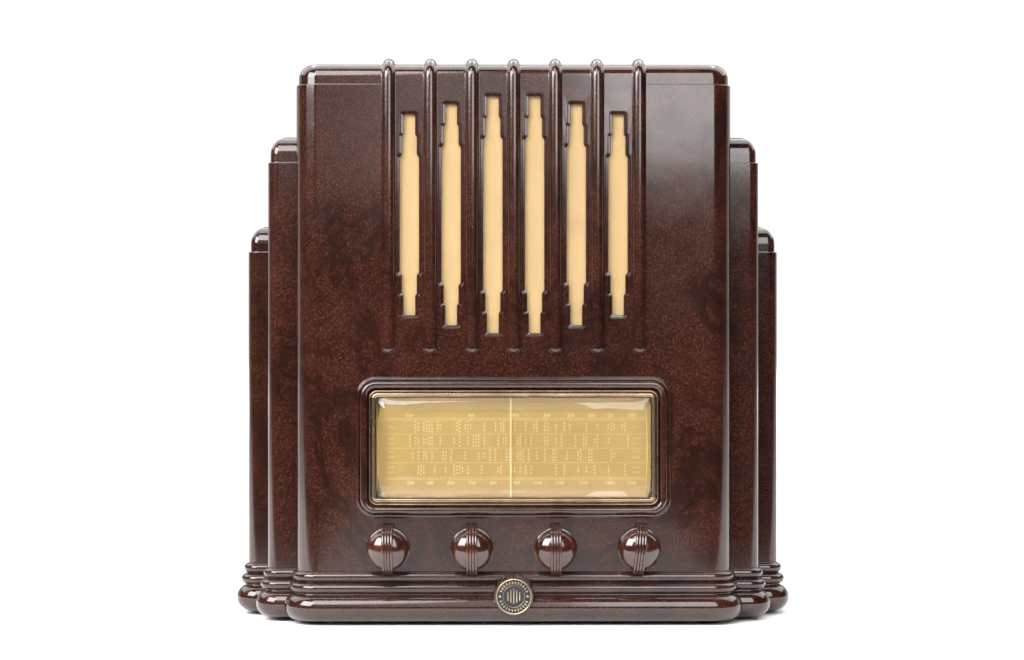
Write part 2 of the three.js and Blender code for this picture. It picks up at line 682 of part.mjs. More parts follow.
function knob(x, turn = 0) {
  const skirtFront = -(KNOB_GAP + SKIRT_DEPTH);
  const dome = span(0, 90, 5).map((a) => [
    KNOB_RADIUS * Math.cos(radians(a)),
    -KNOB_GAP - KNOB_SHOULDER - (KNOB_DEPTH - KNOB_SHOULDER) * Math.sin(radians(a)),
  ]);
  const bore = SHAFT_RADIUS + SNUG;
  const profile = [
    [0, -KNOB_GAP - SHAFT_IN_KNOB - SNUG],
    [bore, -KNOB_GAP - SHAFT_IN_KNOB - SNUG],
    [bore, -KNOB_GAP],
    [KNOB_RADIUS + SKIRT_EXTRA, -KNOB_GAP],
    [KNOB_RADIUS + SKIRT_EXTRA, skirtFront],
    [KNOB_RADIUS, skirtFront],
    ...dome,
  ];
  const hole = rod(bore, -KNOB_GAP - SHAFT_IN_KNOB - SNUG, 0, x, KNOB_Z);
  const grip = strap(0).translate([0, 0, -KNOB_Z]).rotate([0, turn, 0]).translate([x, 0, KNOB_Z]);
  return cut(join(turned(profile, [x, 0, KNOB_Z], { sides: 20 }), grip), hole);
}

const shaft = (x) => rod(SHAFT_RADIUS, -KNOB_GAP - SHAFT_IN_KNOB, shaftEnd(), x, KNOB_Z);

function shaftEnd() {
  return CHASSIS_FRONT + CHASSIS_SHEET + CONTROL_LENGTH - 3;
}

function tuningShaft(x) {
  const winding = rod(SPINDLE_RADIUS, DRUM_Y - 1, DRUM_Y + DRUM_WIDTH + 1, x, KNOB_Z);
  return join(shaft(x), winding);
}

// A control behind the chassis front: a bush through the plate, and a can of the given radius.
function control(x, radius) {
  const plate = CHASSIS_FRONT + CHASSIS_SHEET;
  const bore = SHAFT_RADIUS + RUNNING;
  const profile = [
    [0, plate + CONTROL_LENGTH],
    [radius, plate + CONTROL_LENGTH],
    [radius, plate],
    [BUSH_RADIUS, plate],
    [BUSH_RADIUS, CHASSIS_FRONT - BUSH_LENGTH],
    [bore, CHASSIS_FRONT - BUSH_LENGTH],
    [bore, shaftEnd() + FIT],
    [0, shaftEnd() + FIT],
  ];
  return turned(profile, [x, 0, KNOB_Z], { sides: 18 });
}

// ---- Chassis ----------------------------------------------------------------------------------------------

function chassis() {
  const [w, t] = [CHASSIS_HALF, CHASSIS_SHEET];
  const body = box(-w, w, CHASSIS_FRONT, CHASSIS_BACK, FLOOR_TOP, CHASSIS_TOP);
  const inside = box(t - w, w - t, CHASSIS_FRONT + t, CHASSIS_BACK - t, FLOOR_TOP - 1, CHASSIS_TOP - t);
  const holes = knobPlaces().map((x) => rod(BUSH_RADIUS + FIT, CHASSIS_FRONT - 1, CHASSIS_FRONT + t + 1, x, KNOB_Z));
  return cut(body, inside, ...holes);
}

function vanePlaces() {
  const inner = GANG_LENGTH - 2 * GANG_PLATE;
  return Array.from({ length: VANE_COUNT }, (_, i) => GANG_FRONT + GANG_PLATE + ((i + 0.7) * inner) / (VANE_COUNT + 0.4));
}

function gangFrame() {
  const [w, back] = [GANG_HALF_WIDTH, GANG_FRONT + GANG_LENGTH];
  const top = GANG_Z + 3 * GANG_SHAFT_RADIUS;
  const pitch = vanePlaces()[1] - vanePlaces()[0];
  const base = box(-w, w, GANG_FRONT, back, CHASSIS_TOP, CHASSIS_TOP + GANG_PLATE);
  const ends = [GANG_FRONT, back - GANG_PLATE].map((y) => box(-w, w, y, y + GANG_PLATE, CHASSIS_TOP, top));
  const bar = box(-w, -w + GANG_PLATE, GANG_FRONT, back, GANG_Z - GANG_BAR_HALF, GANG_Z + GANG_BAR_HALF);
  const stators = vanePlaces().slice(0, -1).map((y) =>
    box(
      -w,
      -GANG_SHAFT_RADIUS * 2,
      y + (pitch - VANE_THICK) / 2,
      y + (pitch + VANE_THICK) / 2,
      ...STATOR_REACH.map((v) => GANG_Z + v),
    ),
  );
  const bore = rod(GANG_SHAFT_RADIUS + RUNNING, GANG_FRONT - 1, back + 1, 0, GANG_Z);
  return cut(join(base, ...ends, bar, ...stators), bore);
}

function gangRotor() {
  const axle = rod(GANG_SHAFT_RADIUS, DRUM_Y - 2, GANG_FRONT + GANG_LENGTH + 4, 0, GANG_Z);
  const vanes = vanePlaces().map((y) => {
    const disc = rod(VANE_RADIUS, y - VANE_THICK / 2, y + VANE_THICK / 2, 0, GANG_Z, 20);
    return cut(disc, box(-VANE_RADIUS, VANE_RADIUS, y - 2, y + 2, GANG_Z - VANE_RADIUS - 1, GANG_Z - 1));
  });
  return join(axle, ...vanes);
}

function driveDrum() {
  const [r, w] = [DRUM_RADIUS, DRUM_WIDTH];
  const bore = GANG_SHAFT_RADIUS + SNUG;
  const web = w / 3;
  const profile = [
    [bore, web],
    [r - DRUM_RIM, web],
    [r - DRUM_RIM, 0],
    [r + DRUM_FLANGE, 0],
    [r, w / 2],
    [r + DRUM_FLANGE, w],
    [r - DRUM_RIM, w],
    [r - DRUM_RIM, 2 * web],
    [bore + DRUM_HUB, 2 * web],
    [bore + DRUM_HUB, w],
    [bore, w],
  ];
  return turned(profile, [0, DRUM_Y, GANG_Z], { sides: 24, hollow: true });
}

function valveBase([x, y]) {
  const [r, h] = [VALVE_BASE_RADIUS, VALVE_BASE_HEIGHT];
  const profile = [[0, 0], [0.92 * r, 0], [r, 3], [r, h - 1], [0.94 * r, h], [0, h]];
  return turned(profile, [x, y, CHASSIS_TOP], { upright: true, sides: 14 });
}

function valveGlass([x, y]) {
  const [r, h] = [VALVE_GLASS_RADIUS, VALVE_GLASS_HEIGHT];
  const profile = [
    [0, 0],
    [0.6 * r, 0],
    [0.7 * r, 0.06 * h],
    [r, 0.3 * h],
    [r, 0.45 * h],
    [0.66 * r, 0.7 * h],
    [0.62 * r, 0.88 * h],
    [0.36 * r, 0.98 * h],
    [0, h],
  ];
  return turned(profile, [x, y, CHASSIS_TOP + VALVE_BASE_HEIGHT], { upright: true, sides: 14 });
}

function ifCan([x, y]) {
  const half = IF_CAN_HALF;
  const at = (inset, z) =>
    roundedRectangle(half - inset, half - inset, 4 - inset, 2).map(([dx, dy]) => V(x + dx, y + dy, CHASSIS_TOP + z));
  return loft([at(0, 0), at(0, IF_CAN_HEIGHT - 3), at(1, IF_CAN_HEIGHT - 1), at(3, IF_CAN_HEIGHT)]);
}

function filterCan([x, y]) {
  const [r, h] = [FILTER_CAN_RADIUS, FILTER_CAN_HEIGHT];
  const profile = [[0, 0], [r, 0], [r, h - 2], [r - 2, h], [0, h]];
  return turned(profile, [x, y, CHASSIS_TOP], { upright: true, sides: 16 });
}

function transformer([x, y]) {
  const [w, d, h] = CORE_SIZE;
  const [ww, wd, wh] = WINDING_SIZE;
  const middle = CHASSIS_TOP + h / 2;
  const at = (sx, sy, sz) => box(x - sx / 2, x + sx / 2, y - sy / 2, y + sy / 2, middle - sz / 2, middle + sz / 2);
  return [cut(at(w, d, h), at(ww + 2 * FIT, d + 2, wh + 2 * FIT)), at(ww, wd, wh)];
}

// Places on the chassis, as fractions of its half-width and of the depth behind its front.
function onChassis(across, along) {
  return [across * CHASSIS_HALF, CHASSIS_FRONT + along * (CHASSIS_BACK - CHASSIS_FRONT)];
}

// ---- Speaker ----------------------------------------------------------------------------------------------

const speakerCloth = () =>
  box(
    -BAFFLE_HALF_WIDTH,
    BAFFLE_HALF_WIDTH,
    WALL,
    WALL + CLOTH_THICK,
    GRILLE_Z - SPEAKER_RADIUS,
    GRILLE_Z + SPEAKER_RADIUS,
  );

function baffleBoard() {
  const [w, r] = [BAFFLE_HALF_WIDTH, SPEAKER_RADIUS];
  const board = box(-w, w, BAFFLE_Y, SPEAKER_Y, GRILLE_Z - r, GRILLE_Z + r);
  return cut(board, rod(r - SPEAKER_FLANGE, BAFFLE_Y - 1, SPEAKER_Y + 1, 0, GRILLE_Z, 32));
}

function speakerFrame() {
  const rim = SPEAKER_RADIUS - SPEAKER_FLANGE;
  const t = BASKET_THICK;
  const back = SPEAKER_DEPTH;
  const neck = FIELD_COIL_RADIUS * 0.45;
  const heel = FIELD_COIL_RADIUS * 0.9;
  const profile = [
    [rim + 1, 0],
    [SPEAKER_RADIUS, 0],
    [SPEAKER_RADIUS, t],
    [rim + 1 + t, t],
    [rim + t, 6],
    [heel + t, back],
    [neck, back],
    [neck, back - t],
    [heel, back - t],
    [rim, 6],
  ];
  const basket = turned(profile, [0, SPEAKER_Y, GRILLE_Z], { sides: 24, hollow: true });
  const { halfWidth, fromFront, fromBack } = BASKET_WINDOW;
  const window = box(
    -halfWidth,
    halfWidth,
    SPEAKER_Y + fromFront,
    SPEAKER_Y + back - fromBack,
    -SPEAKER_RADIUS,
    SPEAKER_RADIUS,
  );
  const windows = [0, 60, 120].map((a) => window.rotate([0, a, 0]).translate([0, 0, GRILLE_Z]));
  return cut(basket, ...windows);
}

function speakerCone() {
  const edge = SPEAKER_RADIUS - SPEAKER_FLANGE - CONE_CLEARANCE;
  const coil = FIELD_COIL_RADIUS * 0.4;
  const t = CONE_THICK;
  const profile = [
    [edge, CONE_FRONT],
    [edge, CONE_FRONT + t],
    [coil, CONE_NECK + t],
    [coil, COIL_END],
    [coil - t, COIL_END],
    [0.55 * coil, CONE_NECK - 3 * t],
    [0, CONE_NECK - 4 * t],
    [0, CONE_NECK - 5 * t],
    [0.55 * coil, CONE_NECK - 4 * t],
    [coil - t, CONE_NECK - t],
    [edge - 4 * t, CONE_FRONT],
  ];
  return turned(profile, [0, SPEAKER_Y, GRILLE_Z], { sides: 24, hollow: true });
}

function fieldCoil() {
  const [r, d] = [FIELD_COIL_RADIUS, FIELD_COIL_DEPTH];
  const profile = [[0, 0], [r - 2, 0], [r, 2], [r, d - 2], [r - 2, d], [0, d]];
  return turned(profile, [0, SPEAKER_Y + SPEAKER_DEPTH, GRILLE_Z], { sides: 22 });
}

function outputTransformer() {
  const [w, d, h] = OUTPUT_CORE_SIZE;
  const foot = GRILLE_Z + FIELD_COIL_RADIUS;
  const y = SPEAKER_Y + SPEAKER_DEPTH + FIELD_COIL_DEPTH / 2;
  const core = box(-w / 2, w / 2, y - d / 2, y + d / 2, foot, foot + h);
  const winding = box(-w / 3, w / 3, y - 0.72 * d, y + 0.72 * d, foot + 0.22 * h, foot + 0.78 * h);
  return join(core, winding);
}

// ---- Back -------------------------------------------------------------------------------------------------

function vents() {
  const rows = [GRILLE_Z, DIAL_Z + VENT_LENGTH / 2];
  const column = span(-(VENTS_PER_ROW - 1) / 2, (VENTS_PER_ROW - 1) / 2, VENTS_PER_ROW - 1);
  return rows.flatMap((z) =>
    column.map((n) => {
      const x = n * VENT_PITCH;
      const [w, h] = [VENT_HALF_WIDTH, VENT_LENGTH / 2];
      return box(x - w, x + w, COVER_FRONT - 1, COVER_BACK + 1, z - h, z + h);
    }),
  );
}

const grommetPlace = () => [0.7 * CHASSIS_HALF, CHASSIS_TOP / 2];

function backCover() {
  const slab = box(-OUTER_HALF, OUTER_HALF, COVER_FRONT, COVER_BACK, 0, CASE_TOP);
  const outline = hollow(FIT, CASE_DEPTH + WALL).intersect(slab);
  const holes = coverBossCentres().map(([x, z]) =>
    rod(COVER_SCREW_RADIUS + FIT, COVER_FRONT - 1, COVER_BACK + 1, x, z, 10),
  );
  const [gx, gz] = grommetPlace();
  return cut(outline, rod(GROMMET_RADIUS, COVER_FRONT - 1, COVER_BACK + 1, gx, gz, 16), ...holes, ...vents());
}

function backScrew([x, z]) {
  const head = [
    [0, COVER_FRONT - SCREW_LENGTH],
    [COVER_SCREW_RADIUS, COVER_FRONT - SCREW_LENGTH + 2],
    [COVER_SCREW_RADIUS, COVER_BACK],
    [SCREW_HEAD_RADIUS, COVER_BACK],
    [0.8 * SCREW_HEAD_RADIUS, COVER_BACK + 0.7 * SCREW_HEAD_HEIGHT],
    [0, COVER_BACK + SCREW_HEAD_HEIGHT],
  ];
  return turned(head, [x, 0, z], { sides: 12 });
}

function grommet() {
  const [x, z] = grommetPlace();
  const inner = GROMMET_RADIUS - FIT;
  const lip = GROMMET_RADIUS + GROMMET_LIP;
  const profile = [
    [GROMMET_BORE, COVER_FRONT - GROMMET_LIP_DEPTH],
    [lip - 1, COVER_FRONT - GROMMET_LIP_DEPTH],
    [lip, COVER_FRONT - SNUG],
    [inner, COVER_FRONT - SNUG],
    [inner, COVER_BACK + SNUG],
    [lip, COVER_BACK + SNUG],
    [lip - 1, COVER_BACK + GROMMET_LIP_DEPTH],
    [GROMMET_BORE, COVER_BACK + GROMMET_LIP_DEPTH],
  ];
  return turned(profile, [x, 0, z], { sides: 12, hollow: true });
}

function terminalStrip() {
  const x = -0.75 * CHASSIS_HALF;
  const z = CHASSIS_TOP / 2;
  const [w, t, h] = TERMINAL_STRIP;
  const strip = box(x - w / 2, x + w / 2, COVER_BACK, COVER_BACK + t, z - h / 2, z + h / 2);
  const posts = [-0.5, 0.5].map((n) => rod(TERMINAL_RADIUS, COVER_BACK, CASE_DEPTH, x + n * TERMINAL_PITCH, z, 12));
  return join(strip, ...posts);
}

function foot(x, y) {
  const profile = [[0, 0], [0.9 * FOOT_RADIUS, 0], [FOOT_RADIUS, 1], [FOOT_RADIUS, FOOT_HEIGHT], [0, FOOT_HEIGHT]];
  return turned(profile, [x, y, 0], { upright: true, sides: 16 });
}

// ---- Assembly ---------------------------------------------------------------------------------------------

part("cabinet_shell", cabinetShell(), BAKELITE);
part("speaker_cloth", speakerCloth(), CLOTH);
part("baffle_board", baffleBoard(), BOARD);
part("speaker_frame", speakerFrame(), BLACK_PAINT);
part("speaker_cone", speakerCone(), PAPER);
part("field_coil", fieldCoil(), BLACK_PAINT);
part("output_transformer", outputTransformer(), BLACK_PAINT);
part("dial_bezel", dialBezel(), BRASS);
part("dial_glass", dialGlass(), GLASS);
part("dial_scale", dialScale(), [0xd4b878, 0.5]);
part("dial_pointer", dialPointer(), BRASS);
part("pointer_rail", pointerRail(), STEEL);
part("dial_backplate", dialBackplate(), CHASSIS_METAL);
part("dial_lamp_left", dialLamp(-0.9 * WINDOW_HALF[0]), GLASS);
part("dial_lamp_right", dialLamp(0.9 * WINDOW_HALF[0]), GLASS);
part("badge", badge(), BRASS);

const [toneX, volumeX, tuningX, bandX] = knobPlaces();
part("tone_knob", knob(toneX), DARK_PLASTIC);
part("volume_knob", knob(volumeX), DARK_PLASTIC);
part("tuning_knob", knob(tuningX), DARK_PLASTIC);
part("band_knob", knob(bandX, BAND_KNOB_TURN), DARK_PLASTIC);
part("tone_shaft", shaft(toneX), STEEL);
part("volume_shaft", shaft(volumeX), STEEL);
part("tuning_shaft", tuningShaft(tuningX), STEEL);
part("band_shaft", shaft(bandX), STEEL);
part("tone_control", control(toneX, CONTROL_RADIUS), STEEL);
part("volume_control", control(volumeX, CONTROL_RADIUS), STEEL);
part("tuning_bush", control(tuningX, BUSH_RADIUS + 3), BRASS);
part("band_switch", control(bandX, SWITCH_RADIUS), STEEL);

part("chassis", chassis(), CHASSIS_METAL);
part("gang_frame", gangFrame(), STEEL);
part("gang_rotor", gangRotor(), ALUMINIUM);
part("drive_drum", driveDrum(), ALUMINIUM);
const valves = {
  converter: [-0.45, 0.24],
  if: [-0.79, 0.48],
  detector: [-0.4, 0.8],
  output: [0.47, 0.2],
  rectifier: [0.12, 0.8],
};
Object.entries(valves).forEach(([name, place]) => {
  part(name + "_valve_base", valveBase(onChassis(...place)), DARK_PLASTIC);
  part(name + "_valve", valveGlass(onChassis(...place)), GLASS);
});
part("if_can_front", ifCan(onChassis(-0.8, 0.18)), ALUMINIUM);
part("if_can_rear", ifCan(onChassis(-0.8, 0.8)), ALUMINIUM);
part("filter_can_front", filterCan(onChassis(0.82, 0.12)), ALUMINIUM);
part("filter_can_rear", filterCan(onChassis(0.82, 0.32)), ALUMINIUM);
const [core, winding] = transformer(onChassis(0.68, 0.72));
part("transformer_core", core, BLACK_PAINT);
part("transformer_winding", winding, WAX_WINDING);

part("back_cover", backCover(), BOARD);
coverBossCentres().forEach((place, i) => part("back_screw_" + (i + 1), backScrew(place), STEEL));
part("mains_grommet", grommet(), RUBBER);
part("terminal_strip", terminalStrip(), DARK_PLASTIC);
const footX = MAIN_HALF - FOOT_INSET;
part("foot_front_left", foot(-footX, 1.5 * FOOT_INSET), RUBBER);
part("foot_front_right", foot(footX, 1.5 * FOOT_INSET), RUBBER);
part("foot_rear_left", foot(-footX, CASE_DEPTH - FOOT_INSET), RUBBER);
part("foot_rear_right", foot(footX, CASE_DEPTH - FOOT_INSET), RUBBER);

export default group;
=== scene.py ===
"""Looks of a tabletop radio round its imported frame: case, dial, knobs, badge, grille cloth and back."""

import json

import bmesh
import bpy
import numpy as np
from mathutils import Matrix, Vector
from mathutils.geometry import tessellate_polygon


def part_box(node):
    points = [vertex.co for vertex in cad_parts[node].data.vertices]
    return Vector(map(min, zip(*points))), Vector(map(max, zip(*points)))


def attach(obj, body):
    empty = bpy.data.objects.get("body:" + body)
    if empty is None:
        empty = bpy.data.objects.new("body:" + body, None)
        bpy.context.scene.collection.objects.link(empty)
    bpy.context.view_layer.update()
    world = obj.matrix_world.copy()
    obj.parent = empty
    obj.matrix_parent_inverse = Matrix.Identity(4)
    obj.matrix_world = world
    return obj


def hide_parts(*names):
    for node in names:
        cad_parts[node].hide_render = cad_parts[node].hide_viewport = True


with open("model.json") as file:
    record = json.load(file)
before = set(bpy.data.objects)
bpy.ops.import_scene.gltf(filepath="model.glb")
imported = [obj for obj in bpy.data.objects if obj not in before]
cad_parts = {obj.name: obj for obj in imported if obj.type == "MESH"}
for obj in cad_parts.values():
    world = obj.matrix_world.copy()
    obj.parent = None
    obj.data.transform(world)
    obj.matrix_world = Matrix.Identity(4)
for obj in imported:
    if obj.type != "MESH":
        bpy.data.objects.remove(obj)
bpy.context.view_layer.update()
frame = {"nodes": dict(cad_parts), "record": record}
nodes = frame["nodes"]

# ---- Sizes in millimetres. The front panel is the plane y = 0 and the case runs back from it.
CASE_DEPTH = 255.0
MIDDLE_Y = CASE_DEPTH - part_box("cabinet_shell")[1].y * 1000
CASE_TOP = 427.3
FOOT = 2.7
WALL = 4.5
RIB_PITCH = 31.75
# Each step of the case: half width, front, top, radii of its corner and roll, cap height, start of its front.
MAIN = dict(half=166.4, front=0.0, top=CASE_TOP, corner=18.0, roll=11.0, cap=15.9, start=3 * RIB_PITCH)
MID = dict(half=189.9, front=28.0, top=374.0, corner=9.0, roll=14.0, cap=20.2, start=160.0)
OUTER = dict(half=209.3, front=69.0, top=306.3, corner=9.0, roll=14.0, cap=20.2, start=184.0)
CAP_INSET = 1.8
RIB_COUNT = 7
RIB_RADIUS = 4.6
RIB_FOOT_Z = 206.6
DIAL_Z = 135.0
BEZEL_HALF = np.array([109.8, 43.6])
OPENING_HALF = BEZEL_HALF - 2.8
FRAME_WIDTH = 9.2
FRAME_HALF = BEZEL_HALF + 0.3 + FRAME_WIDTH
GLASS_HALF = BEZEL_HALF - 5.6
SCALE_Y = 8.0
KNOB_Z = 58.2
KNOB_X = {"tone": -3 * RIB_PITCH, "volume": -RIB_PITCH, "tuning": RIB_PITCH, "band": 3 * RIB_PITCH}
BAND_KNOB_TURN = 5.0
KNOB_RADIUS = 15.75
BADGE_Z = 23.2
BOSS_RADIUS = 15.0
BOSS_Y = -11.2
GRILLE_TOP = 402.0
GRILLE_FOOT = RIB_FOOT_Z + 15.5
GRILLE_Z = (GRILLE_TOP + GRILLE_FOOT) / 2
GRILLE_HALF = (GRILLE_TOP - GRILLE_FOOT) / 2
SLOT_HALF_WIDTHS = 4.35, 5.55, 7.25
SLOT_STEP = 15.4
SLOT_SHORTER = 13.7, 6.0, 0.0, 0.0, 6.0, 13.7
COVER_BACK = CASE_DEPTH - 3.0
COVER_THICK = 3.0
SCREW_INSET = 12.5
INSIDE = np.array([0.0, 140.0, 180.0])

# ---- Meshes --------------------


def grid_faces(rows, columns, joined=False):
    """Quads of a grid of points laid row by row; a joined grid also closes each row on itself."""
    r = np.arange(rows - 1)[:, None] * columns
    c = np.arange(columns if joined else columns - 1)[None, :]
    d = (c + 1) % columns
    return np.stack([r + c, r + d, r + columns + d, r + columns + c], -1).reshape(-1, 4)


def flat_faces(*loops):
    """Triangles filling a flat outline, given first, round any holes, and the loops' points in turn."""
    points = np.concatenate(loops)
    triangles = tessellate_polygon([[Vector(p) for p in loop] for loop in loops])
    return points, np.array(triangles).reshape(-1, 3)


class Surface:
    """The points and faces of one piece, gathered patch by patch in millimetres."""

    def __init__(self):
        self.points, self.faces, self.count = [], [], 0

    def add(self, points, faces, back_to=None, face_to=None):
        """Adds a patch, turned over if needed to face away from back_to, towards face_to, or outwards."""
        points = np.asarray(points, float).reshape(-1, 3)
        faces = np.asarray(faces)
        corner = points[faces]
        normal = np.cross(corner[:, 1] - corner[:, 0], corner[:, 2] - corner[:, 0])
        if faces.shape[1] == 4:
            normal = normal + np.cross(corner[:, 2] - corner[:, 0], corner[:, 3] - corner[:, 0])
        centre = points.mean(0)
        if back_to is not None or face_to is not None:
            centre = back_to if face_to is None else face_to
        outward = np.sum(normal * (corner.mean(1) - np.asarray(centre, float)))
        if (outward < 0) == (face_to is None):
            faces = faces[:, ::-1]
        self.points.append(points)
        self.faces.extend((faces + self.count).tolist())
        self.count += len(points)
        return self

    def grid(self, points, joined=False, keep=None, **turn):
        """Adds a (rows, columns, 3) grid; keep is a mask of the quads that stay."""
        points = np.asarray(points, float)
        faces = grid_faces(points.shape[0], points.shape[1], joined)
        if keep is not None:
            faces = faces[keep.reshape(-1)]
        return self.add(points, faces, **turn)

    def fill(self, *loops, **turn):
        points, faces = flat_faces(*loops)
        return self.add(points, faces, **turn)

    def piece(self, name, body, slot, material, replaces=(), sharp=32):
        """The finished object, welded where patches meet, in its place on the given body."""
        points = np.concatenate(self.points)
        points[:, 1] -= MIDDLE_Y
        mesh = bpy.data.meshes.new(name)
        mesh.from_pydata((points * 0.001).tolist(), [], self.faces)
        work = bmesh.new()
        work.from_mesh(mesh)
        bmesh.ops.remove_doubles(work, verts=work.verts, dist=2e-6)
        work.to_mesh(mesh)
        work.free()
        mesh.validate()
        mesh.shade_smooth()
        mesh.set_sharp_from_angle(angle=np.radians(sharp))
        made = bpy.data.objects.new(name, mesh)
        bpy.context.scene.collection.objects.link(made)
        mesh.materials.append(material)
        level = made.modifiers.new("level_normals", "WEIGHTED_NORMAL")
        level.weight, level.keep_sharp = 100, True
        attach(made, body)
        if replaces:
            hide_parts(*([replaces] if isinstance(replaces, str) else replaces))
        return made


def arc(centre, radius, start, end, steps):
    """Points (inset, z) on a circle about centre; 0 degrees faces outwards, 90 up."""
    a = np.radians(np.linspace(start, end, steps + 1))
    return np.stack([centre[0] - radius * np.cos(a), centre[1] + radius * np.sin(a)], -1)


def turned(profile, centre, sides=64):
    """A grid of the profile's (radius, y) points turned round an axis along Y through centre (x, z)."""
    a = np.linspace(0, 2 * np.pi, sides, endpoint=False)
    r, y = np.asarray(profile, float).T
    x = centre[0] + r[:, None] * np.cos(a)
    z = centre[1] + r[:, None] * np.sin(a)
    return np.stack([x, np.broadcast_to(y[:, None], x.shape), z], -1)


def rounded_rectangle(half, corner, steps=10):
    """Points (x, z) of a rectangle about the origin with round corners."""
    r = max(corner, 0.5)
    a = np.radians(np.linspace(0, 90, steps + 1))
    turns = [(1, -1, -90), (1, 1, 0), (-1, 1, 90), (-1, -1, 180)]
    parts = []
    for right, up, start in turns:
        at = a + np.radians(start)
        x = right * (half[0] - r) + r * np.cos(at)
        z = up * (half[1] - r) + r * np.sin(at)
        parts.append(np.stack([x, z], -1))
    return np.concatenate(parts)


def dial_rings(half, corner, profile, steps=10):
    """A grid of rounded rectangles about the dial's centre, one for each (inset, y) of the profile."""
    rings = []
    for inset, y in profile:
        flat = rounded_rectangle(np.asarray(half) - inset, corner - inset, steps)
        rings.append(np.stack([flat[:, 0], np.full(len(flat), y), DIAL_Z + flat[:, 1]], -1))
    return np.array(rings)


def soften(loop, size, steps=4):
    """A closed loop of (x, z) points whose corners are short curves that start size before them."""
    loop = np.asarray(loop, float)
    before = np.roll(loop, 1, 0) - loop
    after = np.roll(loop, -1, 0) - loop
    to_last, to_next = np.linalg.norm(before, axis=1), np.linalg.norm(after, axis=1)
    reach = np.minimum(size, 0.45 * np.minimum(to_last, to_next))[:, None]
    p = loop + before / to_last[:, None] * reach
    q = loop + after / to_next[:, None] * reach
    t = np.linspace(0, 1, steps + 1)[None, :, None]
    curve = (1 - t) ** 2 * p[:, None] + 2 * t * (1 - t) * loop[:, None] + t**2 * q[:, None]
    return curve.reshape(-1, 2)


# ---- Case --------------------


def foot_profile():
    """The torus and two beads round the foot, as (inset, z) points from the underside up."""
    return np.concatenate([
        arc((1.25, FOOT + 10.6), 10.6, -90, 70, 22),
        [[-2.25, FOOT + 20.9], [-2.35, FOOT + 21.3]],
        arc((-1.8, FOOT + 25.3), 4.0, -66, 72, 14),
        [[-1.5, FOOT + 29.5], [-1.1, FOOT + 29.8]],
        arc((0.4, FOOT + 33.8), 4.0, -66, 78, 14),
        [[-0.3, FOOT + 37.85], [-0.1, FOOT + 38.0], [0.0, FOOT + 38.5]],
    ])


def head_profile(step):
    """The ledge, the set-in cap and its roll, as (inset, z) points up to the flat top."""
    ledge = step["top"] - step["cap"]
    return np.concatenate([
        arc((0.8, ledge - 0.8), 0.8, 0, 90, 5),
        [[1.45, ledge], [1.72, ledge + 0.1], [CAP_INSET, ledge + 0.4]],
        arc((CAP_INSET + step["roll"], step["top"] - step["roll"]), step["roll"], 0, 90, 16),
    ])


def step_rows(step, levels=()):
    """The whole height of a step as (inset, z) points, with rows at the given levels as well."""
    heights = sorted([60.0, 120.0, 200.0, step["top"] - step["cap"] - 12.0, *levels])
    wall = np.array([[0.0, z] for z in heights])
    return np.concatenate([foot_profile(), wall, head_profile(step)])


def step_side(step, side, rows, front_lines):
    """One side of a step: each row runs from its start line along the front, round the corner and back, drawn
    in by the row's inset. Returns the grid of points and the number of columns on the front."""
    inset, z = rows.T
    r = np.maximum(step["corner"] - inset, 0.5)
    corner_x = step["half"] - inset - r
    u = (np.asarray(front_lines, float) - step["start"]) / (step["half"] - step["corner"] - step["start"])
    front_y = step["front"] + inset
    a = np.radians(np.linspace(-90, 0, 15))[1:]
    v = np.linspace(0, 1, 9)[1:]
    side_y = front_y + r
    x = np.concatenate([
        step["start"] + (corner_x - step["start"])[:, None] * u,
        corner_x[:, None] + r[:, None] * np.cos(a),
        np.repeat((corner_x + r)[:, None], len(v), 1),
    ], 1)
    y = np.concatenate([
        np.repeat(front_y[:, None], len(u), 1),
        (front_y + r)[:, None] + r[:, None] * np.sin(a),
        side_y[:, None] + (CASE_DEPTH - side_y)[:, None] * v,
    ], 1)
    return np.stack([side * x, y, np.broadcast_to(z[:, None], x.shape)], -1), len(u)


def add_step(shell, step, front_lines, levels=(), opening=None):
    """Both sides of a step with the top between the rolled edge and the start line."""
    rows = step_rows(step, levels)
    for side in (-1, 1):
        points, front = step_side(step, side, rows, front_lines)
        middle = (points[:-1, :-1] + points[1:, 1:]) / 2
        keep = np.ones(middle.shape[:2], bool)
        if opening is not None:
            across, up = np.abs(middle[..., 0]), np.abs(middle[..., 2] - DIAL_Z)
            keep &= ~((across < opening[0]) & (up < opening[1]))
        shell.grid(points, keep=keep, back_to=INSIDE)
        rim = points[-1, front - 1 :]
        inner = rim.copy()
        inner[:, 0] = side * step["start"]
        shell.grid([rim, inner], back_to=INSIDE)
        under = points[0, front - 1 :]
        inner = under.copy()
        inner[:, 0] = 0.0
        shell.grid([under, inner], back_to=INSIDE)


def add_low_front(shell):
    """The front between the start lines, from the underside to the ribs' feet, with the dial's opening."""
    top, low = DIAL_Z + OPENING_HALF[1], DIAL_Z - OPENING_HALF[1]
    rows = np.concatenate([foot_profile(), [[0, 60], [0, low], [0, top], [0, RIB_FOOT_Z]]])
    x = np.linspace(-MAIN["start"], MAIN["start"], 7)
    points = np.stack(np.broadcast_arrays(x[None, :], rows[:, :1], rows[:, 1:]), -1)
    keep = np.ones((len(rows) - 1, len(x) - 1), bool)
    keep[len(rows) - 3] = False
    shell.grid(points, keep=keep, back_to=INSIDE)


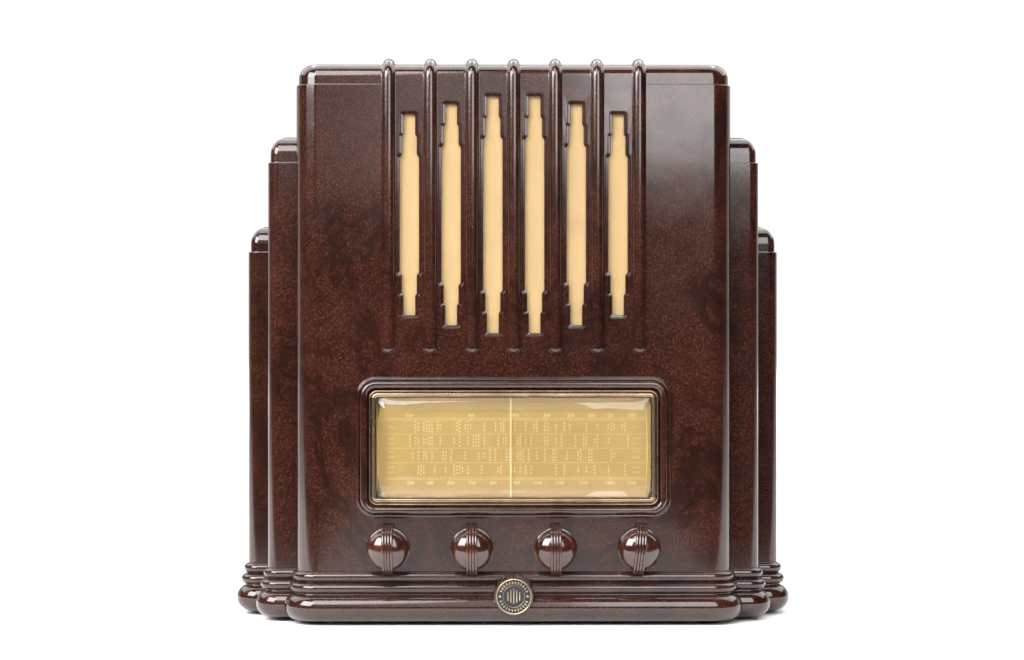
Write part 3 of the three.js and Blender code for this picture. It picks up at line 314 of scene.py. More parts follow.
def slot_loop(centre, half_length, grow, y):
    """A stepped slot's outline, grown all round: narrow, middle and wide lengths joined at 45 degrees."""
    narrow, middle, wide = SLOT_HALF_WIDTHS
    lean = grow * np.tan(np.radians(22.5))
    upper = np.array([
        [narrow + grow, half_length + grow],
        [narrow + grow, half_length - SLOT_STEP + lean],
        [middle + grow, half_length - SLOT_STEP - (middle - narrow) + lean],
        [middle + grow, half_length - 2 * SLOT_STEP + lean],
        [wide + grow, half_length - 2 * SLOT_STEP - (wide - middle) + lean],
    ])
    right = np.concatenate([upper, (upper * [1, -1])[::-1]])
    loop = soften(np.concatenate([right, (right * [-1, 1])[::-1]]), 1.3 + 0.6 * grow)
    return np.stack([centre + loop[:, 0], np.full(len(loop), y), GRILLE_Z + loop[:, 1]], -1)


def over_edge(steps=14):
    """Points (y, z) from the front panel over the rolled edge to the back, and the angle at each."""
    a = np.linspace(0, 90, steps + 1)
    deep = CAP_INSET + MAIN["roll"]
    y = deep - deep * np.cos(np.radians(a))
    z = CASE_TOP - MAIN["roll"] + MAIN["roll"] * np.sin(np.radians(a))
    return np.append(y, CASE_DEPTH), np.append(z, CASE_TOP), np.append(a, 90)


def add_bays(shell):
    """The front between neighbouring ribs, each bay with one stepped slot, and the top behind it. A slot's
    wall, as (grown by, y) rings, is a steep lip, a narrow ledge and a straight hole."""
    wall = [(2.75, 0.0), (2.5, 0.08), (2.35, 0.3), (2.1, 1.15), (1.9, 1.35),
            (0.5, 1.5), (0.2, 1.65), (0.04, 2.0), (0.0, WALL)]
    y, z, _ = over_edge()
    for i, shorter in enumerate(SLOT_SHORTER):
        left = (i - 3) * RIB_PITCH
        right, centre = left + RIB_PITCH, left + RIB_PITCH / 2
        edge = np.array([[left, RIB_FOOT_Z], [right, RIB_FOOT_Z], [right, z[0]], [left, z[0]]])
        edge = np.stack([edge[:, 0], np.zeros(4), edge[:, 1]], -1)
        rings = np.array([slot_loop(centre, GRILLE_HALF - shorter, grow, at) for grow, at in wall])
        shell.fill(edge, rings[0], back_to=INSIDE)
        shell.grid(rings, joined=True, face_to=(centre, -20, GRILLE_Z))
        strip = np.stack([np.stack([np.full(len(y), x), y, z], -1) for x in (left, right)], 1)
        shell.grid(strip, back_to=INSIDE)


def rib_section(fillet=1.2):
    """Half a circle with a small hollow fillet at each foot, as (across, up) points from foot to foot."""
    foot = np.sqrt((RIB_RADIUS + fillet) ** 2 - fillet**2)
    lean = np.arctan2(fillet, foot)
    t = np.linspace(1.5 * np.pi, np.pi + lean, 6)
    hollow = np.stack([foot + fillet * np.cos(t), fillet + fillet * np.sin(t)], -1)
    a = np.linspace(lean, np.pi - lean, 23)[1:-1]
    crown = RIB_RADIUS * np.stack([np.cos(a), 0.95 * np.sin(a)], -1)
    return np.concatenate([hollow, crown, (hollow * [-1, 1])[::-1]])


def add_ribs(shell):
    """Ribs carried up the front, over the rolled edge and back along the top; each lower end tapers round."""
    section = rib_section()
    y, z, a = over_edge()
    q = np.sin(np.radians(np.linspace(0, 90, 9)))[:, None]
    end = 4.2 * (1 - np.sqrt(np.maximum(0, 1 - q[:, 0] ** 2)))
    path_y = np.concatenate([np.zeros(9), y])
    path_z = np.concatenate([RIB_FOOT_Z - 0.2 + end, z])
    lean = np.radians(np.concatenate([np.zeros(9), a]))
    size = np.concatenate([np.maximum(q[:, 0], 0.02), np.ones(len(y))])
    across = size[:, None] * section[:, 0]
    up = size[:, None] * section[:, 1] - 0.02
    for i in range(RIB_COUNT):
        x = (i - 3) * RIB_PITCH
        points = np.stack([
            x + across,
            path_y[:, None] - up * np.cos(lean)[:, None],
            path_z[:, None] + up * np.sin(lean)[:, None],
        ], -1)
        shell.grid(points, back_to=(x, 60, 300))
        shell.fill(points[-1], face_to=(x, 900, CASE_TOP))


def frame_profile():
    """A small bead, then a broad roll standing further out that falls to the bezel, as (inset, y) points."""
    rounds = [((1.2, -0.6), 1.25, 1.3), ((5.3, -1.1), 2.95, 2.75)]
    out = [[-0.6, 0.02], [-0.25, -0.1], [-0.05, -0.35]]
    for (inset, y), across, up in rounds:
        a = np.radians(np.linspace(8, 172, 13))
        out.extend(np.stack([inset - across * np.cos(a), y - up * np.sin(a)], -1))
    return np.array([*out, [8.7, -0.8], [9.2, 0.5]])


def add_dial_frame(shell):
    rings = dial_rings(FRAME_HALF, 14.5, frame_profile(), 14)
    shell.grid(rings, joined=True, face_to=(0, -3000, DIAL_Z))
    rings = dial_rings(OPENING_HALF, 4.0, [(-2.4, 0.3), (0, 0.3), (0, WALL)])
    shell.grid(rings, joined=True, face_to=(0, -200, DIAL_Z))


def add_badge_boss(shell):
    """A round boss that grows out of the torus and carries the badge."""
    profile = [(BOSS_RADIUS + grow, y) for grow, y in (
        (1.6, 0.2), (0.5, -8.6), (0.1, -9.4), (0, -10.6), (-0.25, -11.05), (-0.6, BOSS_Y), (-3.0, BOSS_Y))]
    shell.grid(turned(profile, (0, BADGE_Z), 72), joined=True, face_to=(0, -3000, BADGE_Z))


def back_outline(margin):
    """Half the stepped outline at the back, as (x, z) points from the underside to the middle of the top.
    Without a margin it follows the outside; with one, the inside of the wall, drawn in by margin - WALL."""
    out = []
    for step, above in zip([OUTER, MID, MAIN], [MID, MAIN, None]):
        if margin:
            roll = step["roll"] + CAP_INSET - WALL
            floor = [[margin, FOOT + 5.0 + margin - WALL]]
            rows = np.concatenate([floor, arc((margin + roll, step["top"] - margin - roll), roll, 0, 90, 10)])
            limit = above["half"] - margin if above else 0
        else:
            rows = step_rows(step)
            limit = above["half"] if above else 0
        x, z = step["half"] - rows[:, 0], rows[:, 1]
        if step is not OUTER:
            start = np.searchsorted(z, out[-1][1])
            x, z = x[start:], z[start:]
        for px, pz in zip(x, z):
            if px >= limit - 1e-6:
                out.append((px, pz))
        if above and out[-1][0] > limit:
            out.append((limit, out[-1][1]))
    out.append((0.0, out[-1][1]))
    return np.array(out)


def whole_outline(margin, y):
    """The stepped outline closed across both sides, as points at the given y."""
    half = back_outline(margin)
    loop = np.concatenate([half[:-1], (half * [-1, 1])[::-1]])
    loop = loop[: -1] if np.allclose(loop[0], loop[-1]) else loop
    return np.stack([loop[:, 0], np.full(len(loop), y), loop[:, 1]], -1)


def add_back_rim(shell):
    """The wall's flat back edge and the inner lip in front of it that the cover sits in."""
    outside, inside = whole_outline(0, CASE_DEPTH), whole_outline(WALL, CASE_DEPTH)
    shell.fill(outside, inside, back_to=(0, 0, 200))
    deep = inside - [0, 8.0, 0]
    shell.grid([inside, deep], joined=True, face_to=(0, CASE_DEPTH, 200))


def build_case(material):
    shell = Surface()
    side, height = OPENING_HALF
    ends = lambda step: (step["start"], step["half"] - step["corner"])
    start, end = ends(MAIN)
    add_step(shell, MAIN, [start, side, 115, 130, end], [DIAL_Z - height, DIAL_Z + height], (side, height))
    add_step(shell, MID, ends(MID))
    add_step(shell, OUTER, ends(OUTER))
    add_low_front(shell)
    add_bays(shell)
    add_ribs(shell)
    add_dial_frame(shell)
    add_badge_boss(shell)
    add_back_rim(shell)
    return shell.piece("case_moulding", "case", "bakelite", material, "cabinet_shell")


# ---- Dial --------------------


def bezel_profile():
    """Outer lip, groove and a rounded band falling to the glass, as (inset, y) points."""
    a = np.radians(np.linspace(0, 180, 9))
    lip = np.stack([0.55 - 0.55 * np.cos(a), -2.1 - 0.7 * np.sin(a)], -1)
    b = np.radians(np.linspace(20, 168, 14))
    band = np.stack([3.55 - 1.95 * np.cos(b), -0.9 - 1.95 * np.sin(b)], -1)
    return np.concatenate([[[0, 0.2]], lip, [[1.25, -1.35]], band, [[5.5, -0.5], [5.5, 0.3]]])


def build_bezel(material):
    rings = dial_rings(BEZEL_HALF, 6.5, bezel_profile(), 10)
    return Surface().grid(rings, joined=True, face_to=(0, -3000, DIAL_Z)).piece(
        "bezel", "case", "bezel_brass", material, "dial_bezel", sharp=40)


def build_glass(material):
    """Closed domed glass with a flat back: its front rises by f(u) f(v) (4.45 - 3 exp(-(u + v) / 12)) where u
    and v are the distances in from its ends and its long edges and f(d) = 1 - exp(-d / 3.2)."""
    half = GLASS_HALF - 0.3
    steps = np.concatenate([np.linspace(0, 8, 17), np.linspace(9.5, 36, 12)])
    lines = []
    for h in half:
        inward = steps[steps < h]
        lines.append(np.concatenate([-h + inward, [0], (h - inward)[::-1]]))
    x, z = np.meshgrid(*lines)
    u, v = half[0] - abs(x), half[1] - abs(z)
    rise = (1 - np.exp(-u / 3.2)) * (1 - np.exp(-v / 3.2)) * (4.45 - 3 * np.exp(-(u + v) / 12))
    front = np.stack([x, -1.1 - rise, DIAL_Z + z], -1)
    rim = np.concatenate([front[0], front[1:-1, -1], front[-1][::-1], front[1:-1, 0][::-1]])
    glass = Surface().grid(front, face_to=(0, -900, DIAL_Z))
    back = rim * [1, 0, 1] + [0, 2.3, 0]
    glass.grid([rim, back], joined=True, back_to=(0, 0.5, DIAL_Z))
    glass.fill(back, back_to=(0, -900, DIAL_Z))
    return glass.piece("glass", "case", "clear_glass", material, "dial_glass", sharp=60)


class Print:
    """Flat strokes and lettering in one plane in front of the scale plate."""

    def __init__(self, y):
        self.y, self.boxes, self.text = y, [], []

    def bar(self, x0, x1, z0, z1):
        self.boxes.append((x0, x1, z0, z1))

    def bars(self, x, width, z0, z1):
        for at in np.atleast_1d(x):
            self.bar(at - width / 2, at + width / 2, z0, z1)

    def word(self, text, x, z, size):
        self.text.append((text, x, z, size))

    def piece(self, name, material):
        out = Surface()
        for x0, x1, z0, z1 in self.boxes:
            loop = np.array([[x0, self.y, z0], [x1, self.y, z0], [x1, self.y, z1], [x0, self.y, z1]])
            out.add(loop, [[0, 1, 2, 3]], face_to=(x0, -900, z0))
        for text, x, z, size in self.text:
            curve = bpy.data.curves.new("lettering", "FONT")
            curve.body, curve.size, curve.align_x, curve.resolution_u = text, size, "CENTER", 1
            curve.offset = 0.04 * size
            letters = bpy.data.objects.new("lettering", curve)
            bpy.context.scene.collection.objects.link(letters)
            bpy.context.view_layer.update()
            flat = letters.to_mesh()
            at = np.array([v.co for v in flat.vertices], float).reshape(-1, 3)
            flat.calc_loop_triangles()
            faces = np.array([t.vertices for t in flat.loop_triangles]).reshape(-1, 3)
            letters.to_mesh_clear()
            bpy.data.objects.remove(letters)
            bpy.data.curves.remove(curve)
            if len(faces):
                place = np.stack([x + at[:, 0], np.full(len(at), self.y), z + at[:, 1]], -1)
                out.add(place, faces, face_to=(x, -900, z))
        return out.piece(name, "case", "scale_print", material)


def build_print(material):
    """A plain tuning scale: ruled lines, marks, columns of dots in four rows, and two rows of numbers."""
    p = Print(SCALE_Y - 0.04)
    chance = np.random.default_rng(11)
    left, right = -96.5, 99.0
    for z in (157.0, 155.6, 145.1, 134.3, 123.2, 112.2, 110.8):
        p.bar(left, right, z - 0.17, z + 0.17)
    p.bars(right, 0.35, 99, 174)
    upper = np.array([-79.1, -32.1, 1.4, 25.3, 43.6, 59.6, 73.9, 90.0])
    lower = np.array([-78.3, -63.9, -48.0, -31.6, -15.6, 2.2, 18.1, 35.2, 52.7, 73.6, 89.5])
    for x, number in zip(upper, (500, 400, 350, 300, 270, 250, 230, 200)):
        p.word(str(number), x, 157.9, 3.6)
        p.bars(x, 0.5, 155.0, 157.2)
    for x, number in zip(lower, (550, 600, 650, 700, 800, 900, 1000, 1100, 1200, 1400, 1500)):
        p.word(str(number), x, 106.9, 3.6)
        p.bars(x, 0.5, 110.6, 112.8)
    p.bars(np.arange(-86, 96, 2.6), 0.22, 155.6, 157.0)
    p.bars(np.arange(-86, 96, 3.4), 0.22, 110.8, 112.2)
    for low, high, count in [(146.2, 154.8, 44), (135.4, 144.0, 38), (124.3, 133.1, 40), (113.4, 122.0, 30)]:
        places = np.unique(np.round(chance.beta(1.0, 1.35, count) * 168 / 2.1)) * 2.1 - 79
        for x in places:
            dots = chance.integers(2, 5)
            for n in range(dots):
                z = low + 0.2 + (n + (4 - dots) / 2) * (high - low - 1.3) / 3
                p.bar(x - 0.62, x + 0.62, z, z + 1.25)
            if chance.random() < 0.7:
                p.bars(x, 0.22, low, high)
    for x, width in ((-93.0, 4.5), (93.6, 5.2)):
        for z in (149.6, 141.0, 137.2, 131.0, 127.0, 119.2, 115.4):
            for n in range(3):
                p.bar(x - width / 2 + n * width / 2.7, x - width / 2 + n * width / 2.7 + 1.1, z, z + 0.45)
                p.bar(x - width / 2 + n * width / 2.7, x - width / 2 + n * width / 2.7 + 0.35, z, z + 1.7)
    for x, z, count in ((0.5, 162.8, 8), (1.5, 102.6, 12)):
        p.bars(x + (np.arange(count) - count / 2) * 1.5, 0.9, z, z + 0.35)
        p.bars(x + (np.arange(count) - count / 2) * 1.5 - 0.3, 0.25, z, z + 1.4)
    return p.piece("scale_lettering", material)


def build_scale_edge(material):
    """Painted shadow: dark strips where the scale plate ends, put in for the shade in the gap round the
    plate, narrow at the right and wider at the left.
    """
    p = Print(SCALE_Y - 0.05)
    p.bar(-104.0, -99.8, 95.5, 174.5)
    p.bar(101.8, 104.0, 95.5, 174.5)
    return p.piece("painted_edge_shadows", material)


def build_badge(metal, enamel):
    """A round badge: two thin rims, a ring of short upright bars with a bead at each side, and within it five
    tall bars of stepped length like the grille's slots."""
    y = BOSS_Y - 0.05
    floor = y - 0.9
    rim = [(13.5, y), (13.5, y - 1.3), (13.25, y - 1.75), (12.95, y - 1.85), (12.65, y - 1.7), (12.45, floor),
           (8.55, floor), (8.5, y - 1.35), (8.25, y - 1.55), (8.0, y - 1.35), (7.9, floor), (0.0, floor)]
    badge = Surface().grid(turned(rim, (0, BADGE_Z), 72), joined=True, face_to=(0, -3000, BADGE_Z))

    def bar(centre, angle, half_length, half_width, height=0.55):
        """A low rounded bar along the angle, as three rows of points over its width."""
        along = np.array([np.cos(angle), 0, np.sin(angle)])
        over = np.array([-np.sin(angle), 0, np.cos(angle)])
        base = np.array([centre[0], floor, BADGE_Z + centre[1]])
        stations = [(-1.0, 0.35, 0.0), (-0.85, 1.0, 0.8), (0.0, 1.0, 1.0), (0.85, 1.0, 0.8), (1.0, 0.35, 0.0)]
        across = [(-1.0, 0.0), (-0.7, 0.8), (0.0, 1.0), (0.7, 0.8), (1.0, 0.0)]
        rows = []
        for t, w, h in stations:
            at = base + t * half_length * along
            rows.append([at + u * w * half_width * over - [0, h * v * height, 0] for u, v in across])
        badge.grid(rows, face_to=(0, -3000, BADGE_Z))

    for a in np.radians([*np.arange(22, 159, 12.4), *np.arange(202, 339, 12.4)]):
        middle = (10.5 * np.cos(a), 10.5 * np.sin(a))
        bar(middle, a, 1.25, 0.33)
        bar((middle[0] + 0.55 * np.sin(a), middle[1] - 0.55 * np.cos(a)), a + 0.9, 0.8, 0.24)
    for side in (-1, 1):
        bar((10.5 * side, 0), 0.0, 0.8, 0.8)
    for i, x in enumerate(np.linspace(-4.4, 4.4, 5)):
        bar((x, 0), np.pi / 2, [3.4, 4.8, 5.8, 4.8, 3.4][i], 0.42)
    badge.piece("badge_relief", "case", "badge_enamel", metal, "badge", sharp=50)
    field = Surface()
    for outer, inner in ((12.5, 8.5), (7.95, 0.0)):
        rings = turned([(outer, floor - 0.08), (inner, floor - 0.08)], (0, BADGE_Z), 48)
        field.grid(rings, joined=True, face_to=(0, -3000, BADGE_Z))
    field.piece("badge_field", "case", "badge_enamel", enamel)


# ---- Knobs --------------------


def build_knob(name, x, turn, material):
    """A domed knob, r = R cos t with depth rising as sin t, and over it a strap with four rounded ridges
    carried along a square-shouldered arch, depth = c |cos t|^0.75 and height = l |sin t|^0.85."""
    t = np.radians(np.linspace(0, 90, 30))
    gap, skirt, shoulder, crown = 0.9, 4.2, 10.4, 21.4
    dome = [(KNOB_RADIUS * max(np.cos(a), 0.0), -shoulder - (crown - shoulder) * np.sin(a)) for a in t]
    rim = KNOB_RADIUS + 0.6
    side = [(rim - 0.5, -gap), (rim, -gap - 0.5), (rim, -skirt + 0.6),
            (rim - 0.2, -skirt + 0.15), (rim - 0.6, -skirt)]
    knob = Surface().grid(turned([(3.0, -gap), *side, *dome], (0, 0), 72), joined=True)
    width = 4.25
    u = np.linspace(-1, 1, 61)
    ridge = 0.85 * np.sqrt(np.maximum(0.0, 1 - (2 * ((u * 2 + 1) % 1.0) - 1) ** 2))
    across = np.concatenate([[-width, -width], u * width, [width, width]])
    up = np.concatenate([[-6, -0.9], ridge - 0.05, [-0.9, -6]])
    a = np.radians(np.linspace(-90, 90, 49))
    reach, length = 20.05, 18.2
    depth = -skirt - reach * np.cos(a).clip(0) ** 0.75
    path = np.stack([depth, length * np.sign(a) * abs(np.sin(a)) ** 0.85], -1)
    along = np.gradient(path, axis=0)
    n = np.stack([-along[:, 1], along[:, 0]], -1)
    n /= np.linalg.norm(n, axis=1)[:, None]
    path = np.concatenate([[[-skirt + 1.2, -length]], path, [[-skirt + 1.2, length]]])
    n = np.concatenate([[[0, -1]], n, [[0, 1]]])
    grid = np.stack([
        np.broadcast_to(across, (len(path), len(across))),
        path[:, :1] + n[:, :1] * up,
        path[:, 1:] + n[:, 1:] * up,
    ], -1)
    knob.grid(grid, back_to=(0, -6, 0))
    for end in (grid[0], grid[-1]):
        knob.fill(end, back_to=(0, -20, 0))
    c, s = np.cos(np.radians(-turn)), np.sin(np.radians(-turn))
    for points in knob.points:
        px, pz = points[:, 0].copy(), points[:, 2].copy()
        points[:, 0], points[:, 2] = x + c * px - s * pz, KNOB_Z + s * px + c * pz
    knob.piece(name + "_knob_look", name, "knob_plastic", material, name + "_knob", sharp=45)


# ---- Cloth and back --------------------


def build_cloth(material):
    """A stretched sheet with faint slack: y moves by a few hundredths of a millimetre in long waves."""
    low, high = (np.array(v) * 1000 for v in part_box("speaker_cloth"))
    x = np.linspace(low[0] + 0.2, high[0] - 0.2, 90)
    z = np.linspace(low[2] + 0.2, high[2] - 0.2, 80)
    gx, gz = np.meshgrid(x, z)
    wave = 0.05 * np.sin(gx / 9 + np.sin(gz / 21)) * np.sin(gz / 33 + 1) + 0.03 * np.sin(gz / 7 + gx / 13)
    points = np.stack([gx, WALL + 0.22 + wave, gz], -1)
    cloth = Surface().grid(points, face_to=(0, -900, 300)).piece(
        "grille_cloth", "case", "grille_cloth", material, "speaker_cloth", sharp=80)


def circle(x, z, r, sides=24):
    a = np.linspace(0, 2 * np.pi, sides, endpoint=False)
    return np.stack([x + r * np.cos(a), np.zeros(sides), z + r * np.sin(a)], -1)


def build_cover(material):
    """A pressed-board plate cut to the case's stepped outline, pierced by two rows of round-ended vents."""
    outline = whole_outline(WALL + 0.3, 0.0)
    holes = []
    a = np.radians(np.linspace(0, 180, 7))
    for z in (GRILLE_Z, DIAL_Z + 28):
        for i in range(8):
            x = (i - 3.5) * 14
            top = np.stack([x + 1.5 * np.cos(a), np.zeros(7), z + 26.5 + 1.5 * np.sin(a)], -1)
            low = np.stack([x - 1.5 * np.cos(a), np.zeros(7), z - 26.5 - 1.5 * np.sin(a)], -1)
            holes.append(np.concatenate([top, low]))
    for side in (-1, 1):
        holes.append(circle(side * (OUTER["half"] - SCREW_INSET), FOOT + 13, 1.8))
        holes.append(circle(side * (MAIN["half"] - SCREW_INSET), CASE_TOP - SCREW_INSET, 1.8))
    low, high = (np.array(v) * 1000 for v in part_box("mains_grommet"))
    holes.append(circle((low[0] + high[0]) / 2, (low[2] + high[2]) / 2, 5.9, 32))
    cover = Surface()
    back, front = [0, COVER_BACK, 0], [0, COVER_BACK - COVER_THICK, 0]
    cover.fill(outline + back, *[h + back for h in holes], back_to=(0, 0, 200))
    cover.fill(outline + front, *[h + front for h in holes], face_to=(0, 0, 200))
    cover.grid([outline + back, outline + front], joined=True, back_to=(0, COVER_BACK - 1.5, 200))
    for hole in holes:
        middle = hole.mean(0) + [0, COVER_BACK - 1.5, 0]
        cover.grid([hole + back, hole + front], joined=True, face_to=middle)
    cover.piece("back_board", "case", "board", material, "back_cover", sharp=20)


# ---- Materials --------------------


def add_node(tree, kind, inputs=None, **settings):
    """Adds a shader node; each input is a number, a colour or another node's output."""
    made = tree.nodes.new(kind)
    for key, value in settings.items():
        setattr(made, key, value)
    for key, value in (inputs or {}).items():
        socket = made.inputs[key]
        if isinstance(value, bpy.types.NodeSocket):
            tree.links.new(value, socket)
        else:
            socket.default_value = value
    return made


def ramp(tree, factor, stops):
    """A straight colour ramp through (position, colour) stops; a colour may be one number, for a grey."""
    made = add_node(tree, "ShaderNodeValToRGB", {"Fac": factor})
    while len(made.color_ramp.elements) < len(stops):
        made.color_ramp.elements.new(0.5)
    for element, (position, colour) in zip(made.color_ramp.elements, stops):
        element.position = position
        element.color = (*(colour if isinstance(colour, tuple) else [colour] * 3), 1)
    return made.outputs["Color"]


def noise(tree, vector, scale, detail=4.0, rough=0.5, distortion=0.0):
    made = add_node(tree, "ShaderNodeTexNoise", {
        "Vector": vector, "Scale": scale, "Detail": detail, "Roughness": rough, "Distortion": distortion})
    return made.outputs["Fac"]


def mix(tree, factor, a, b, blend="MIX"):
    made = add_node(tree, "ShaderNodeMix", data_type="RGBA", blend_type=blend, clamp_result=True)
    for socket, value in ((made.inputs[0], factor), (made.inputs[6], a), (made.inputs[7], b)):
        if isinstance(value, bpy.types.NodeSocket):
            tree.links.new(value, socket)
        else:
            socket.default_value = value if isinstance(value, (int, float)) else (*value, 1)
    return made.outputs[2]


def math(tree, operation, a, b=0.5):
    made = add_node(tree, "ShaderNodeMath", operation=operation)
    for socket, value in zip(made.inputs, (a, b)):
        if isinstance(value, bpy.types.NodeSocket):
            tree.links.new(value, socket)
        else:
            socket.default_value = value
    return made.outputs[0]


def group(name, inputs, outputs):
    """An empty node group with named sockets: inputs are (name, type, default), outputs (name, type)."""
    tree = bpy.data.node_groups.new(name, "ShaderNodeTree")
    for label, kind, default in inputs:
        socket = tree.interface.new_socket(label, in_out="INPUT", socket_type="NodeSocket" + kind)
        if default is not None:
            socket.default_value = default
    for label, kind in outputs:
        tree.interface.new_socket(label, in_out="OUTPUT", socket_type="NodeSocket" + kind)
    return tree, tree.nodes.new("NodeGroupInput"), tree.nodes.new("NodeGroupOutput")


def mottle_group():
    """Cloudy patches, fine grain and thin wandering veins, as in moulded resin filled with wood flour."""
    tree, given, out = group("mottle", [("Vector", "Vector", None), ("Scale", "Float", 30.0)],
                             [("Cloud", "Float"), ("Veins", "Float"), ("Speckle", "Float")])
    scaled = add_node(tree, "ShaderNodeVectorMath", {0: given.outputs["Vector"]}, operation="SCALE")
    tree.links.new(given.outputs["Scale"], scaled.inputs["Scale"])
    at = scaled.outputs[0]
    tree.links.new(noise(tree, at, 1.0, 8, 0.7, 0.5), out.inputs["Cloud"])
    warp = noise(tree, at, 0.5, 8, 0.68, 1.4)
    line = math(tree, "ABSOLUTE", math(tree, "SUBTRACT", warp, 0.5))
    veins = ramp(tree, line, [(0.0, 1), (0.016, 0.6), (0.055, 0)])
    some = ramp(tree, noise(tree, at, 0.8, 3, 0.5), [(0.42, 0), (0.54, 1)])
    tree.links.new(math(tree, "MULTIPLY", veins, some), out.inputs["Veins"])
    tree.links.new(noise(tree, at, 45.0, 5, 0.9), out.inputs["Speckle"])
    return tree


def wear_group():
    """Long fine scratches one way and soft blotches, each as a mask."""
    tree, given, out = group("fine_wear", [("Vector", "Vector", None), ("Scale", "Float", 1.0)],
                             [("Scratches", "Float"), ("Blotches", "Float"), ("Grain", "Float")])
    scaled = add_node(tree, "ShaderNodeVectorMath", {0: given.outputs["Vector"]}, operation="SCALE")
    tree.links.new(given.outputs["Scale"], scaled.inputs["Scale"])
    drawn = {0: scaled.outputs[0], 1: (900, 900, 40)}
    long = add_node(tree, "ShaderNodeVectorMath", drawn, operation="MULTIPLY")
    lines = noise(tree, long.outputs[0], 1.0, 2, 0.6)
    tree.links.new(ramp(tree, lines, [(0.6, 0), (0.78, 1)]), out.inputs["Scratches"])
    tree.links.new(noise(tree, scaled.outputs[0], 38.0, 5, 0.6, 0.3), out.inputs["Blotches"])
    tree.links.new(noise(tree, scaled.outputs[0], 900.0, 2, 0.5), out.inputs["Grain"])
    return tree


def dust_group():
    """Dust that lies on what faces up, broken up by noise."""
    tree, given, out = group("dust", [("Vector", "Vector", None), ("Amount", "Float", 0.3)],
                             [("Mask", "Float")])
    normal = add_node(tree, "ShaderNodeNewGeometry").outputs["Normal"]
    up = add_node(tree, "ShaderNodeSeparateXYZ", {0: normal})
    facing = ramp(tree, up.outputs["Z"], [(0.55, 0), (0.98, 1)])
    patch = ramp(tree, noise(tree, given.outputs["Vector"], 120.0, 5, 0.65), [(0.35, 0.15), (0.7, 1)])
    made = math(tree, "MULTIPLY", math(tree, "MULTIPLY", facing, patch), given.outputs["Amount"])
    tree.links.new(made, out.inputs["Mask"])
    return tree


MOTTLE, WEAR, DUST = mottle_group(), wear_group(), dust_group()


def start_material(name, **values):
    """A material with a Principled BSDF whose own sockets hold the given plain values."""
    made = bpy.data.materials.new(name)
    made.use_nodes = True
    tree = made.node_tree
    shader = tree.nodes["Principled BSDF"]
    for key, value in values.items():
        label = key.replace("_", " ").title().replace("Ior", "IOR")
        shader.inputs[label].default_value = (*value, 1) if isinstance(value, tuple) else value
    at = add_node(tree, "ShaderNodeTexCoord").outputs["Object"]
    return made, tree, shader, at


def blotched(tree, wear, low, high, start=0.3, end=0.7):
    """A value or colour that goes from low to high where the wear group's blotches are strong."""
    return ramp(tree, wear["Blotches"], [(start, low), (end, high)])


def use_group(tree, which, vector, **values):
    made = add_node(tree, "ShaderNodeGroup", node_tree=which)
    tree.links.new(vector, made.inputs["Vector"])
    for key, value in values.items():
        made.inputs[key].default_value = value
    return made.outputs


def feed(tree, shader, label, value):
    tree.links.new(value, shader.inputs[label])


def bump(tree, shader, height, strength, distance=0.0005):
    made = add_node(tree, "ShaderNodeBump", {"Height": height, "Strength": strength, "Distance": distance})
    feed(tree, shader, "Normal", made.outputs["Normal"])


def moulding_material(name, dark, mid, warm, scale, rough, clear):
    """Polished dark resin: slow cloud between three browns, fine light and dark grain, and dark veins."""
    made, tree, shader, at = start_material(name, ior=1.54, coat_roughness=0.07, coat_ior=1.54)
    mottle = use_group(tree, MOTTLE, at, Scale=scale)
    wear = use_group(tree, WEAR, at)
    colour = ramp(tree, mottle["Cloud"], [(0.32, dark), (0.5, mid), (0.7, warm)])
    grain = ramp(tree, mottle["Speckle"], [(0.4, 0.3), (0.5, 0.8), (0.6, 1.0)])
    colour = mix(tree, 1.0, colour, grain, "MULTIPLY")
    fleck = ramp(tree, mottle["Speckle"], [(0.53, 0), (0.66, 0.7)])
    colour = mix(tree, fleck, colour, tuple(np.multiply(warm, (1.8, 2.3, 2.4))))
    colour = mix(tree, math(tree, "MULTIPLY", mottle["Veins"], 0.75), colour, tuple(0.3 * v for v in dark))
    dust = use_group(tree, DUST, at, Amount=0.05)
    colour = mix(tree, dust["Mask"], colour, (0.32, 0.28, 0.25))
    feed(tree, shader, "Base Color", colour)
    feed(tree, shader, "Roughness", blotched(tree, wear, *rough, end=0.75))
    feed(tree, shader, "Coat Weight", blotched(tree, wear, clear, 0.7 * clear, end=0.75))
    height = math(tree, "ADD", noise(tree, at, 70.0, 3, 0.5), math(tree, "MULTIPLY", wear["Grain"], 0.06))
    bump(tree, shader, height, 0.06)
    return made


def brass_material(name, clean, stained, rough):
    """Lacquered brass, stained in blotches and finely scratched."""
    made, tree, shader, at = start_material(name, metallic=1.0)
    wear = use_group(tree, WEAR, at)
    feed(tree, shader, "Base Color", blotched(tree, wear, clean, stained, 0.35, 0.62))
    feed(tree, shader, "Roughness", blotched(tree, wear, *rough))
    height = math(tree, "ADD", wear["Scratches"], math(tree, "MULTIPLY", wear["Grain"], 0.4))
    bump(tree, shader, height, 0.12, 0.0002)
    return made


def metal_material(name, light, dull, rough, metallic=1.0):
    """Worn metal, or enamel where metallic is 0."""
    made, tree, shader, at = start_material(name, metallic=metallic)
    wear = use_group(tree, WEAR, at)
    colour = blotched(tree, wear, light, dull)
    scratched = math(tree, "MULTIPLY", wear["Scratches"], 0.3)
    feed(tree, shader, "Base Color", mix(tree, scratched, colour, dull))
    feed(tree, shader, "Roughness", blotched(tree, wear, rough, rough + 0.15))
    bump(tree, shader, wear["Scratches"], 0.15, 0.0002)
    return made


def matte_material(name, light, dark, rough, grain=0.3):
    """A dull, finely grained finish."""
    made, tree, shader, at = start_material(name, roughness=rough)
    wear = use_group(tree, WEAR, at)
    feed(tree, shader, "Base Color", blotched(tree, wear, light, dark))
    bump(tree, shader, wear["Grain"], grain, 0.0003)
    return made


